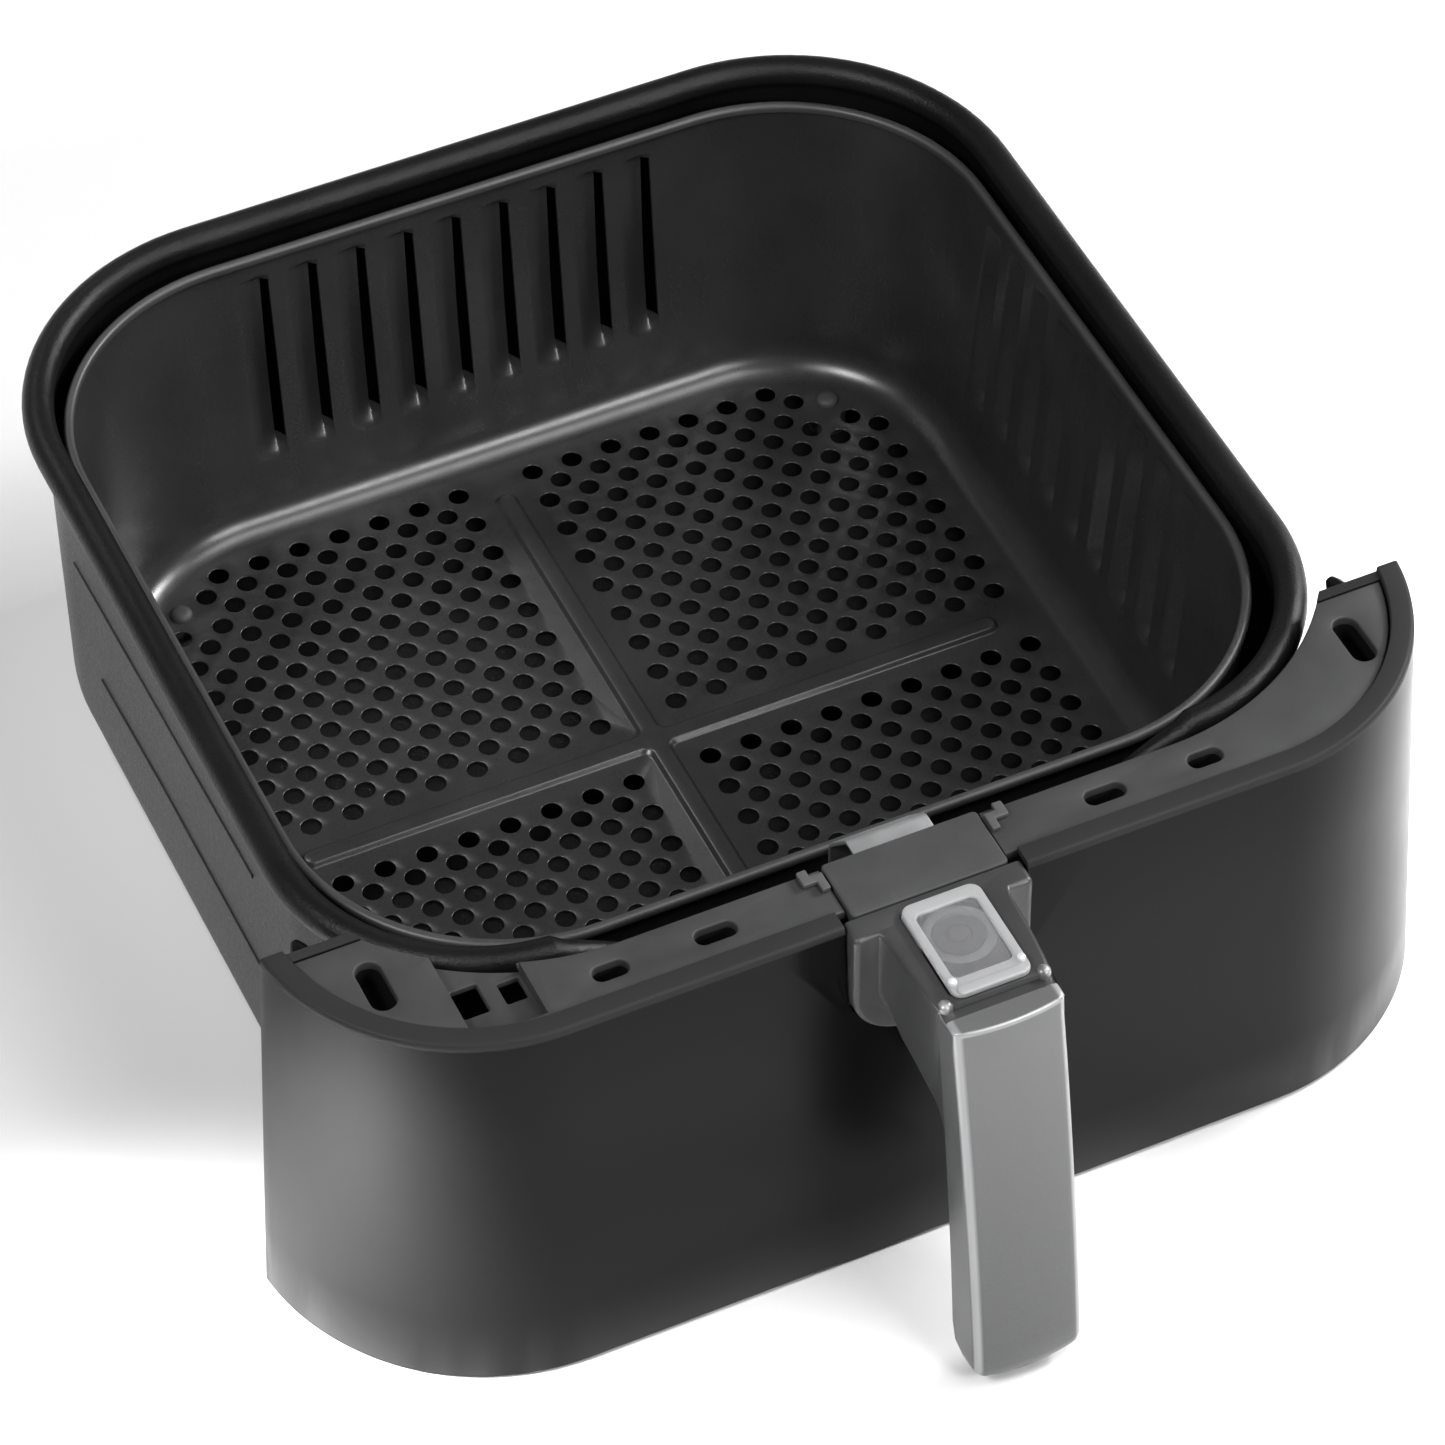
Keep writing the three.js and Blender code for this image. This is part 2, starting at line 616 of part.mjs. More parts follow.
// side view of the neck and grip, behind the front panel
function gripOutline() {
  const shape = new THREE.Shape();
  const front = panelFace(PANEL_THICKNESS + GAP);
  shape.moveTo(SADDLE_BACK_Y, HANDLE_TOP_Z);
  shape.lineTo(PANEL_BACK_Y + GAP, HANDLE_TOP_Z);
  shape.lineTo(PANEL_BACK_Y + GAP, 108);
  shape.lineTo(-186.4, 107.4);
  front.slice(0, -1).forEach(([y, z]) => shape.lineTo(y + (z > 107 ? 1.2 : 0), z));
  shape.lineTo(-202.6, 7.4);
  shape.lineTo(-199.4, 4.4);
  shape.quadraticCurveTo(-196.4, 4.4, -196.5, 11.8);
  shape.quadraticCurveTo(-191.2, 38, -189.6, 55.2);
  shape.quadraticCurveTo(-188.6, 68, -183.9, 73.6);
  shape.quadraticCurveTo(-179, 79.4, -170, 81.6);
  shape.quadraticCurveTo(-162, 83.4, SADDLE_FRONT_Y, 87);
  shape.lineTo(SADDLE_BACK_Y, 87);
  return shape;
}

// plan of the neck and grip, which narrow from the saddle to the front panel
function gripPlan() {
  const right = [
    [NECK_HALF_WIDTH, SADDLE_BACK_Y], [NECK_HALF_WIDTH, SADDLE_FRONT_Y],
    [HANDLE_HALF_WIDTH + 0.6, PANEL_BACK_Y + 3], [HANDLE_HALF_WIDTH - 0.3, PANEL_BACK_Y],
    [HANDLE_HALF_WIDTH - 0.3, -215],
  ];
  const left = right.map(([x, y]) => [-x, y]).reverse();
  return polygon([...right, ...left]);
}

function handleBody() {
  const grip = sidePrism(gripOutline(), -NECK_HALF_WIDTH, NECK_HALF_WIDTH)
    .intersect(plate(gripPlan(), 0, 120));
  const saddle = frontPrism(
    saddleOutline(SADDLE_HALF_WIDTH, SADDLE_BOTTOM_Z, SADDLE_RADIUS, HANDLE_TOP_Z),
    SADDLE_BACK_Y, SADDLE_FRONT_Y,
  );
  const well = rod(BUTTON_RADIUS + 0.4, WELL_FLOOR_Z, 115, 'z', [0, BUTTON_Y, 0], 16);
  const stemHole = rod(STEM_RADIUS + 0.4, 95, WELL_FLOOR_Z + 1, 'z', [0, BUTTON_Y, 0]);
  const leverRoom = block(-3.6, 3.6, -170, -150, 87.8, 99.2);
  const springRoom = block(3, 7.8, SADDLE_FRONT_Y + 1.6, -150, 90.9, 99.1);
  const pinBore = rod(PIN_RADIUS + 0.3, -8.3, 11.3, 'x', [0, PIVOT_Y, PIVOT_Z]);
  const grooves = [-1, 1].map((side) => block(
    Math.min(side * 8.6, side * 10), Math.max(side * 8.6, side * 10),
    GUARD_BACK_Y - 26.2, GUARD_BACK_Y - 1.4, 108.3, 115,
  ));
  const screwHoles = SADDLE_SCREWS.map(([x, z]) => rod(1.95, -157, -150, 'y', [x, 0, z], 8));
  const panelHoles = PANEL_SCREWS.flatMap(([, z, faceY]) => [
    rod(3.5, faceY - 2, faceY + 6.3, 'y', [0, 0, z], 8),
    rod(1.9, faceY, -180, 'y', [0, 0, z], 8),
    rod(3.5, faceY + 8, -180, 'y', [0, 0, z], 8),
  ]);
  return cut(
    join(grip, saddle), well, stemHole, leverRoom, springRoom, pinBore, ...grooves,
    ...screwHoles, ...panelHoles,
  );
}

function panelScrew(faceY, z) {
  return screw(0, faceY + 10, faceY + 8.3, faceY + 2.6, z);
}

// ---- release button, guard and latch ----

function releaseButton() {
  return turned([
    [0, STEM_BOTTOM_Z], [STEM_RADIUS, STEM_BOTTOM_Z], [STEM_RADIUS, 107.6],
    [BUTTON_RADIUS, 107.6], [BUTTON_RADIUS, BUTTON_TOP_Z - 0.6],
    [BUTTON_RADIUS - 0.8, BUTTON_TOP_Z], [5.9, BUTTON_TOP_Z], [5.9, BUTTON_TOP_Z - 0.9],
    [0, BUTTON_TOP_Z - 0.9],
  ], 'z', [0, BUTTON_Y, 0], 16);
}

function buttonInlay() {
  return rod(5.6, BUTTON_TOP_Z - 0.6, BUTTON_TOP_Z - 0.1, 'z', [0, BUTTON_Y, 0], 14);
}

function buttonSpring() {
  const low = WELL_FLOOR_Z + GAP;
  const high = 107.6 - GAP;
  return turned(
    [[2.4, low], [3.4, low], [3.4, high], [2.4, high], [2.4, low]], 'z', [0, BUTTON_Y, 0], 10,
  );
}

// clear cover with two short runners, which slides towards the front
function buttonGuard() {
  const top = plate(
    roundedBar(-GUARD_HALF_WIDTH, GUARD_HALF_WIDTH, GUARD_FRONT_Y, GUARD_BACK_Y, 1.5),
    HANDLE_TOP_Z + GAP, HANDLE_TOP_Z + 1.5, 3,
  );
  const runners = [-1, 1].map((side) => block(
    Math.min(side * 8.95, side * 9.65), Math.max(side * 8.95, side * 9.65),
    GUARD_FRONT_Y + GUARD_TRAVEL + 3, GUARD_BACK_Y - 1.7, 108.6, HANDLE_TOP_Z + 1,
  ));
  return join(top, ...runners);
}

// bell crank: the button presses its front arm, and its hook hangs behind the saddle
function latchLever() {
  const arm = polygon([
    [-168.5, 93.7], [-147.5, 93.7], [-147.5, 70.8], [-150.3, 70.8], [-150.3, 68],
    [-144.5, 68], [-144.5, 96.5], [-168.5, 96.5],
  ]);
  const boss = rod(3.5, -LEVER_HALF_WIDTH, LEVER_HALF_WIDTH, 'x', [0, PIVOT_Y, PIVOT_Z]);
  const bore = rod(PIN_RADIUS + 0.25, -5, 5, 'x', [0, PIVOT_Y, PIVOT_Z]);
  return cut(join(sidePrism(arm, -LEVER_HALF_WIDTH, LEVER_HALF_WIDTH), boss), bore);
}

function latchPin() {
  return rod(PIN_RADIUS, -8, 11, 'x', [0, PIVOT_Y, PIVOT_Z]);
}

function latchSpring() {
  return turned([
    [1.9, 3.7], [3, 3.7], [3, 7.3], [1.9, 7.3], [1.9, 3.7],
  ], 'x', [0, PIVOT_Y, PIVOT_Z], 10);
}

// ---- assembly ----

const drawer = new THREE.Group();

function add(name, solid, surface) {
  const mesh = new THREE.Mesh(toGeometry(solid), surface);
  mesh.name = name;
  drawer.add(mesh);
}

add('outer_pan', outerPan(), COATED_STEEL);
add('front_fascia', frontFascia(), BLACK_PLASTIC);
add('top_trim_right', trimPlate(), TRIM_PLASTIC);
add('top_trim_left', leftTrimPlate(), TRIM_PLASTIC);
for (const [name, side] of [['left', -1], ['right', 1]]) {
  add(`retention_clip_${name}`, retentionClip(side), TRIM_PLASTIC);
  add(`pan_bracket_${name}`, panBracket(side), BARE_STEEL);
  add(`locating_peg_${name}`, locatingPeg(side), BLACK_PLASTIC);
}
BRACKET_SCREW_XS.forEach((x, k) => add(
  `fascia_screw_${k + 1}`, screw(x, -149.3, -151.2, -155.9, BRACKET_SCREW_Z), BARE_STEEL,
));
add('latch_keeper', latchKeeper(), BARE_STEEL);
KEEPER_SCREW_XS.forEach((x, k) => add(
  `keeper_screw_${k + 1}`, screw(x, -150.3, -151.9, -155.7, KEEPER_SCREW_Z, 1.3), BARE_STEEL,
));

add('inner_basket', innerBasket(), BASKET_COATING);
FOOT_PLACES.forEach((place, k) => add(`basket_foot_${k + 1}`, basketFoot(place), SILICONE));
add('basket_strap', basketStrap(), BARE_STEEL);
RIVET_XS.forEach((x, k) => add(`strap_rivet_${k + 1}`, strapRivet(x), BARE_STEEL));
add('bracket_cover', bracketCover(), HANDLE_PLASTIC);
add('handle_body', handleBody(), HANDLE_PLASTIC);
add('handle_front_panel', frontPanel(), PANEL_PAINT);
SADDLE_SCREWS.forEach(([x, z], k) => add(
  `handle_screw_${k + 1}`, screw(x, -146.9, -148.8, -156.6, z), BARE_STEEL,
));
PANEL_SCREWS.forEach(([name, z, faceY]) => add(
  `panel_screw_${name}`, panelScrew(faceY, z), BARE_STEEL,
));
add('release_button', releaseButton(), HANDLE_PLASTIC);
add('button_inlay', buttonInlay(), BLACK_PLASTIC);
add('button_spring', buttonSpring(), BARE_STEEL);
add('button_guard', buttonGuard(), CLEAR_PLASTIC);
add('latch_lever', latchLever(), BARE_STEEL);
add('latch_pin', latchPin(), BARE_STEEL);
add('latch_spring', latchSpring(), BARE_STEEL);

export default drawer;
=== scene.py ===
# Air fryer drawer: a coated pan with a plastic fascia, and a perforated basket with a latch
# handle. Outer sizes and places come from the CAD frame where a node gives them, and the rest
# stands below or in the function that makes the piece. Shapes are written in millimetres, +Z up
# and the front at -Y, and each mesh is scaled to metres as it is made.

import itertools
import math

import bmesh
import bpy
from mathutils import Matrix, Quaternion, Vector
from mathutils.geometry import delaunay_2d_cdt


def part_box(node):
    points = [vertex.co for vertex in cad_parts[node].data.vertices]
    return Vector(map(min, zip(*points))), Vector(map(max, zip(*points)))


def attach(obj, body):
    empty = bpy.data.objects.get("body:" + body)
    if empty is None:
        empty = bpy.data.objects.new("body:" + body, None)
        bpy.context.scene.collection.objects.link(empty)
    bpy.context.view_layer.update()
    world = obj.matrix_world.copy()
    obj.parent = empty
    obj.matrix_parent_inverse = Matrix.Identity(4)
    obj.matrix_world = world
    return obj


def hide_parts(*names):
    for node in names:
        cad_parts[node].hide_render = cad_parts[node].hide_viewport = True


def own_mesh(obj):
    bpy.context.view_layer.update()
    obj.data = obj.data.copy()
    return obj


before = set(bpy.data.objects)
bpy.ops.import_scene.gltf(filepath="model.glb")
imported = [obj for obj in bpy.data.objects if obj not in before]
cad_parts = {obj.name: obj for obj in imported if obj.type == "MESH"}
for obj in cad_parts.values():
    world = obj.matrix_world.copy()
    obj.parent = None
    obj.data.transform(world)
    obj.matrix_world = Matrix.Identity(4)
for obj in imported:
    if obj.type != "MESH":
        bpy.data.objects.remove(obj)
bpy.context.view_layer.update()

MM = 0.001


def place_of(node):
    """Lowest and highest corner of a CAD node, in millimetres."""
    low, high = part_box(node)
    return low / MM, high / MM


def middle_of(node):
    """Middle of a CAD node's box, in millimetres."""
    low, high = place_of(node)
    return (low + high) / 2


# ---- driving dimensions, in millimetres ----

CORNER_STEPS = 24

PAN_HIGH = place_of("outer_pan")[1]
BEAD_RADIUS = 3.9
BEAD_REACH = 5  # how far the bead stands out from the wall
PAN = {
    "half_width": PAN_HIGH.x - BEAD_REACH,
    "front": BEAD_REACH - PAN_HIGH.y,
    "back": PAN_HIGH.y - BEAD_REACH,
    "radius": 56,
    "front_radius": 48,
}
PAN_WALL = 1
PAN_FILLET = 15.5
BEAD_CENTRE_Z = PAN_HIGH.z - BEAD_RADIUS
LOW_BEAD_RADIUS = 1.4  # behind the fascia the rim is lower
LOW_BEAD_CENTRE_Z = 91.5
LOW_RIM_START_X = 72

BASKET_LOW, BASKET_HIGH = place_of("inner_basket")
RIM_HALF_THICKNESS = 1.25
BASKET = {
    "half_width": BASKET_HIGH.x - RIM_HALF_THICKNESS,
    "front": BASKET_LOW.y + RIM_HALF_THICKNESS,
    "back": BASKET_HIGH.y - RIM_HALF_THICKNESS,
    "radius": 54.7,
}
BASKET_WALL = 0.8
BASKET_FLOOR_Z = BASKET_LOW.z + BASKET_WALL
BASKET_RIM_Z = BASKET_HIGH.z
BASKET_LEAN = 5
BASKET_FILLET = 9
HOLE_RADIUS = 2.65
HOLE_SIDES = 20
HOLE_PITCH = Vector((11.1, 11.16))
HOLE_FIRST = Vector((10.4, 10.25))
HOLES_PER_SIDE = 9
RIB_HALF_WIDTH = 3
RIB_HEIGHT = 1.2
RIB_REACH = 95
RIB_STEPS = 5
HOLE_ROLL = ((0.15, 0), (0.05, -0.05), (0, -0.15), (0, -0.3))  # (wider by, height) down a hole

LOUVRE_COUNT = 9
LOUVRE_PITCH = 13
LOUVRE_LOW_Z = 36
LOUVRE_HIGH_Z = 88

FASCIA_LOW, FASCIA_HIGH = place_of("front_fascia")
FASCIA_FLARE = 6
FASCIA_CORNER = 53.6
FASCIA_HALF_WIDTH = 142.5
FASCIA_FRONT = FASCIA_LOW.y + FASCIA_FLARE
FASCIA_CENTRE = (FASCIA_HALF_WIDTH - FASCIA_CORNER, FASCIA_FRONT + FASCIA_CORNER)
FASCIA_WALL = 2.6
FASCIA_BAND = 5.5
WING_END_Y = FASCIA_HIGH.y
WING_END_Z = 110.6
WING_INNER_X = 116
WING_LEAN = 1.4  # how far the end of the wing stays inside the flared wall

TRIM_LOW, TRIM_HIGH = place_of("top_trim_right")
TRIM_THICKNESS = 2.5
TRIM_INNER_RADIUS = 65.6
TRIM_CENTRE = (133.5 - TRIM_INNER_RADIUS, TRIM_INNER_RADIUS - 135.1)
POCKET = {"x0": -108, "x1": -90.6, "y0": -147.2, "floor": 107}

SADDLE_HALF_WIDTH = 22
SADDLE_BOTTOM_Z = 76
SADDLE_RADIUS = 15
SADDLE_BACK_Y = -151.9
SADDLE_FRONT_Y = -158.5
HANDLE_TOP_Z = 111
HANDLE_HALF_WIDTH = 13.6

PANEL_TOP = Vector((-190.9, 108.2))
PANEL_BEND = Vector((-201, 57.5))
PANEL_END = Vector((-206.1, 7.7))
PANEL_BACK_Y = -186.4
PANEL_THICKNESS = 2.6

BUTTON_Y = -165.5
WELL_FLOOR_Z = 101.5
PIVOT = Vector((0, -153, 95))


# ---- outlines ----

def corner_arc(before, corner, after, radius, steps):
    """Points that round one corner of an outline."""
    towards_before = (before - corner).normalized()
    towards_after = (after - corner).normalized()
    half = math.acos(max(-1, min(1, towards_before.dot(towards_after)))) / 2
    reach = radius / math.tan(half)
    start = corner + towards_before * reach
    centre = corner + (towards_before + towards_after).normalized() * (radius / math.sin(half))
    spoke = start - centre
    turn = math.pi - 2 * half
    if spoke.cross(corner + towards_after * reach - centre) < 0:
        turn = -turn
    points = []
    for step in range(steps + 1):
        angle = turn * step / steps
        points.append(centre + Matrix.Rotation(angle, 2) @ spoke)
    return points


def outline(corners, steps=8):
    """A closed outline from (u, v, radius) corners."""
    points = []
    for k, (u, v, radius) in enumerate(corners):
        corner = Vector((u, v))
        if not radius:
            points.append(corner)
            continue
        before = Vector(corners[k - 1][:2])
        after = Vector(corners[(k + 1) % len(corners)][:2])
        points += corner_arc(before, corner, after, radius, steps)
    return points


def arc(centre, radius, start, end, steps):
    """Points on a circle between two angles, in degrees."""
    points = []
    for step in range(steps + 1):
        angle = math.radians(start + (end - start) * step / steps)
        points.append(Vector(centre) + radius * Vector((math.cos(angle), math.sin(angle))))
    return points


def area(points):
    """Area inside an outline, positive where it runs anticlockwise."""
    total = 0
    for k, point in enumerate(points):
        total += points[k - 1].cross(point)
    return total / 2


def mitre(before, after):
    """Where a corner goes when the edges before and after it move one unit to their left."""
    left_before = Vector((-before.y, before.x))
    left_after = Vector((-after.y, after.x))
    return (left_before + left_after) / (1 + left_before.dot(left_after))


def moved_in(points, distance):
    """The outline with each edge moved to its left by distance."""
    moved = []
    for k, point in enumerate(points):
        before = (point - points[k - 1]).normalized()
        after = (points[(k + 1) % len(points)] - point).normalized()
        moved.append(point + mitre(before, after) * distance)
    return moved


def moved_path(points, distance):
    """An open path moved to its left."""
    moved = []
    for k, point in enumerate(points):
        before = (point - points[k - 1]).normalized() if k else None
        after = (points[k + 1] - point).normalized() if k + 1 < len(points) else before
        moved.append(point + mitre(before or after, after) * distance)
    return moved


def mirrored(points):
    return [Vector((-point.x, point.y)) for point in points]


def blend_step(value):
    """0 below 0, 1 above 1, and a smooth rise between."""
    value = max(0, min(1, value))
    return value * value * (3 - 2 * value)


# ---- meshes ----

class Surface:
    """Points and faces, gathered loop by loop."""

    def __init__(self):
        self.points = []
        self.faces = []

    def loop(self, points):
        """Adds points and gives their numbers."""
        start = len(self.points)
        self.points += [Vector(point) for point in points]
        return list(range(start, len(self.points)))

    def bridge(self, first, second, closed=True):
        """Faces between two loops that have the same number of points."""
        count = len(first)
        for k in range(count if closed else count - 1):
            after = (k + 1) % count
            self.faces.append((first[k], first[after], second[after], second[k]))

    def stack(self, rows, closed=True, ring=False):
        """Bridges rows in their order; a ring also joins the last one to the first."""
        for first, second in zip(rows, [*rows[1:], rows[0]] if ring else rows[1:]):
            self.bridge(first, second, closed)

    def cap(self, *loops):
        self.faces += [tuple(loop) for loop in loops]

    def fill(self, outer, holes, flat):
        """Triangles inside the outer loop and outside the holes; flat() drops a point to 2D."""
        numbers = []
        regions = []
        for loop in [outer, *holes]:
            drawn = [flat(self.points[n]) for n in loop]
            ordered = loop if area(drawn) > 0 else loop[::-1]
            regions.append(list(range(len(numbers), len(numbers) + len(loop))))
            numbers += ordered
        drawn = [flat(self.points[n]) for n in numbers]
        result = delaunay_2d_cdt(drawn, [], regions, 1, 1e-4, True)
        _, _, triangles, origins, _, owners = result
        for triangle, owner in zip(triangles, owners):
            if list(owner) == [0]:
                self.faces.append(tuple(numbers[origins[corner][0]] for corner in triangle))

    def object(self, name, material, sharp=35):
        mesh = bpy.data.meshes.new(name)
        mesh.from_pydata([point * MM for point in self.points], [], self.faces)
        mesh.materials.append(material)
        made = bpy.data.objects.new(name, mesh)
        bpy.context.scene.collection.objects.link(made)
        shade(made, sharp)
        return made


def shade(made, sharp):
    """Smooth shading, apart from edges that turn by more than sharp degrees."""
    made.data.shade_smooth()
    made.data.set_sharp_from_angle(angle=math.radians(sharp))


def bake(made, sharp=35):
    """Applies an object's modifiers to its mesh."""
    depsgraph = bpy.context.evaluated_depsgraph_get()
    made.data = bpy.data.meshes.new_from_object(made.evaluated_get(depsgraph))
    made.modifiers.clear()
    shade(made, sharp)
    return made


def outwards(made):
    """Turns the faces of a closed mesh outwards."""
    work = bmesh.new()
    work.from_mesh(made.data)
    bmesh.ops.recalc_face_normals(work, faces=work.faces)
    work.to_mesh(made.data)
    work.free()
    return made


def combine(made, others, operation="DIFFERENCE", sharp=35):
    """Cuts the other objects out of one, or joins them to it, and removes them."""
    for other in others:
        modifier = made.modifiers.new("combine", "BOOLEAN")
        modifier.operation = operation
        modifier.solver = "MANIFOLD"
        modifier.object = other
    bake(made, sharp)
    for other in others:
        bpy.data.objects.remove(other)
    return made


def soften(made, width, segments=2, angle=50, sharp=35):
    """Rounds the sharp edges of a finished shape."""
    modifier = made.modifiers.new("soften", "BEVEL")
    modifier.width = width * MM
    modifier.segments = segments
    modifier.limit_method = "ANGLE"
    modifier.angle_limit = math.radians(angle)
    modifier.use_clamp_overlap = True
    return bake(made, sharp)


# Views that a flat outline can be drawn in; w is the depth away from the drawing.

def plan(u, v, w):
    return Vector((u, v, w))


def front_view(u, v, w):
    return Vector((u, w, v))


def side_view(u, v, w):
    return Vector((w, u, v))


FLAT = {
    plan: lambda p: Vector((p.x, p.y)),
    front_view: lambda p: Vector((p.x, p.z)),
    side_view: lambda p: Vector((p.y, p.z)),
}


def slab(name, material, outer, low, high, view=plan, holes=(), edges=(0.3, 0.3), steps=3):
    """A flat plate drawn in a view; edges are the radii at its low and its high face."""
    surface = Surface()
    quarter = [math.pi / 2 * step / steps for step in range(steps + 1)]
    rounded = [(1 - math.sin(angle), 1 - math.cos(angle)) for angle in quarter]
    levels = [(edges[0] * inset, low + edges[0] * rise) for inset, rise in rounded]
    levels += [(edges[1] * inset, high - edges[1] * drop) for drop, inset in rounded]
    ends = []
    for k, points in enumerate([outer, *holes]):
        wanted = 1 if k == 0 else -1
        run = list(points) if area(points) * wanted > 0 else list(points)[::-1]
        loops = [
            surface.loop([view(*p, level) for p in moved_in(run, inset)])
            for inset, level in levels
        ]
        surface.stack(loops)
        ends.append((loops[0], loops[-1]))
    for side in (0, 1):
        surface.fill(ends[0][side], [pair[side] for pair in ends[1:]], FLAT[view])
    return outwards(surface.object(name, material))


def box(name, material, x0, x1, y0, y1, z0, z1, edge=0.0):
    """A block, square to the axes."""
    corners = [(x0, y0, 0), (x1, y0, 0), (x1, y1, 0), (x0, y1, 0)]
    edges = (edge, edge) if edge else (0.001, 0.001)
    return slab(name, material, outline(corners), z0, z1, edges=edges, steps=2 if edge else 1)


AXES = {
    "x": Matrix(((0, 0, 1), (1, 0, 0), (0, 1, 0))),
    "y": Matrix(((1, 0, 0), (0, 0, 1), (0, -1, 0))),
    "z": Matrix.Identity(3),
}


def turned(name, material, profile, place, axis="z", sides=40, sharp=35):
    """A solid turned about an axis through a place; the profile holds (radius, height)."""
    surface = Surface()
    turn = AXES[axis]
    loops = []
    for radius, height in profile:
        count = sides if radius else 1
        points = []
        for k in range(count):
            angle = 2 * math.pi * k / sides
            around = Vector((radius * math.cos(angle), radius * math.sin(angle), height))
            points.append(turn @ around + Vector(place))
        loops.append(surface.loop(points))
    for first, second in zip(loops, loops[1:]):
        if len(first) == 1 or len(second) == 1:
            tip, ring = (first, second) if len(first) == 1 else (second, first)
            for k in range(sides):
                surface.faces.append((tip[0], ring[k], ring[(k + 1) % sides]))
        else:
            surface.bridge(first, second)
    return outwards(surface.object(name, material, sharp))


def rod(name, material, radius, low, high, place, axis="z", edge=0.2, sides=40):
    """A round bar about an axis through a place."""
    profile = [
        (0, low), (radius - edge, low), (radius, low + edge), (radius, high - edge),
        (radius - edge, high), (0, high),
    ]
    return turned(name, material, profile, place, axis, sides)


def wire(name, material, points, radius, sides=10):
    """A round wire along points, with closed ends."""
    surface = Surface()
    loops = []
    frame_up = None
    for k, point in enumerate(points):
        ahead = points[min(k + 1, len(points) - 1)]
        behind = points[max(k - 1, 0)]
        along = (ahead - behind).normalized()
        if frame_up is None:
            frame_up = along.orthogonal().normalized()
        frame_up = (frame_up - along * frame_up.dot(along)).normalized()
        across = along.cross(frame_up)
        ring = []
        for side in range(sides):
            angle = 2 * math.pi * side / sides
            ring.append(point + radius * (math.cos(angle) * frame_up + math.sin(angle) * across))
        loops.append(surface.loop(ring))
    surface.stack(loops)
    surface.cap(loops[0], loops[-1])
    return outwards(surface.object(name, material, 60))


def loft(name, material, sections, sharp=35):
    """A closed solid through sections that have the same number of points."""
    surface = Surface()
    loops = [surface.loop(section) for section in sections]
    surface.stack(loops)
    surface.cap(loops[0], loops[-1])
    return outwards(surface.object(name, material, sharp))


def fit(made, body, material_slot, *nodes):
    """Puts a finished piece on its body and hides the CAD nodes it stands for."""
    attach(made, body)
    if nodes:
        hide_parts(*nodes)
    return made


# ---- columns around a rounded rectangle ----

class Column:
    """A place on an outline with its outward normal; louvres also use bend and opens."""

    def __init__(self, x, y, nx, ny, bend=0.0, opens=False):
        self.x, self.y, self.nx, self.ny = x, y, nx, ny
        self.bend = bend  # share of the louvre's depth here
        self.opens = opens  # the louvre's gap lies between this column and the next

    def at(self, offset, z):
        return Vector((self.x + self.nx * offset, self.y + self.ny * offset, z))


def columns_around(shape, side_stops=None):
    """Columns anticlockwise from the left end of the front side. side_stops gives, for a side,
    the (distance from its middle, bend, opens) of extra columns."""
    side_stops = side_stops or {}
    rear = shape["radius"]
    front = shape.get("front_radius", rear)
    half_width = shape["half_width"]
    middle_y = (shape["front"] + shape["back"]) / 2
    half_y = (shape["back"] - shape["front"]) / 2
    columns = []
    sides = [
        ("front", Vector((0, shape["front"])), Vector((1, 0)), half_width, front, front),
        ("right", Vector((half_width, middle_y)), Vector((0, 1)), half_y, front, rear),
        ("back", Vector((0, shape["back"])), Vector((-1, 0)), half_width, rear, rear),
        ("left", Vector((-half_width, middle_y)), Vector((0, -1)), half_y, rear, front),
    ]
    for name, middle, along, half, radius_before, radius in sides:
        normal = Vector((along.y, -along.x))
        first, last = (radius_before - half, 0, False), (half - radius, 0, False)
        for distance, bend, opens in [first, *side_stops.get(name, ()), last]:
            spot = middle + along * distance
            columns.append(Column(spot.x, spot.y, normal.x, normal.y, bend, opens))
        centre = middle + along * (half - radius) - normal * radius
        for step in range(1, CORNER_STEPS):
            angle = math.pi / 2 * step / CORNER_STEPS
            spoke = normal * math.cos(angle) + along * math.sin(angle)
            spot = centre + spoke * radius
            columns.append(Column(spot.x, spot.y, spoke.x, spoke.y))
    return columns


def fillet_profile(wall, floor_z, radius, steps):
    """(offset, z) from a flat floor up to a wall."""
    points = []
    for step in range(steps + 1):
        angle = math.pi / 2 * step / steps
        points.append((
            wall - radius + radius * math.sin(angle),
            floor_z + radius - radius * math.cos(angle),
        ))
    return points


# ---- materials ----

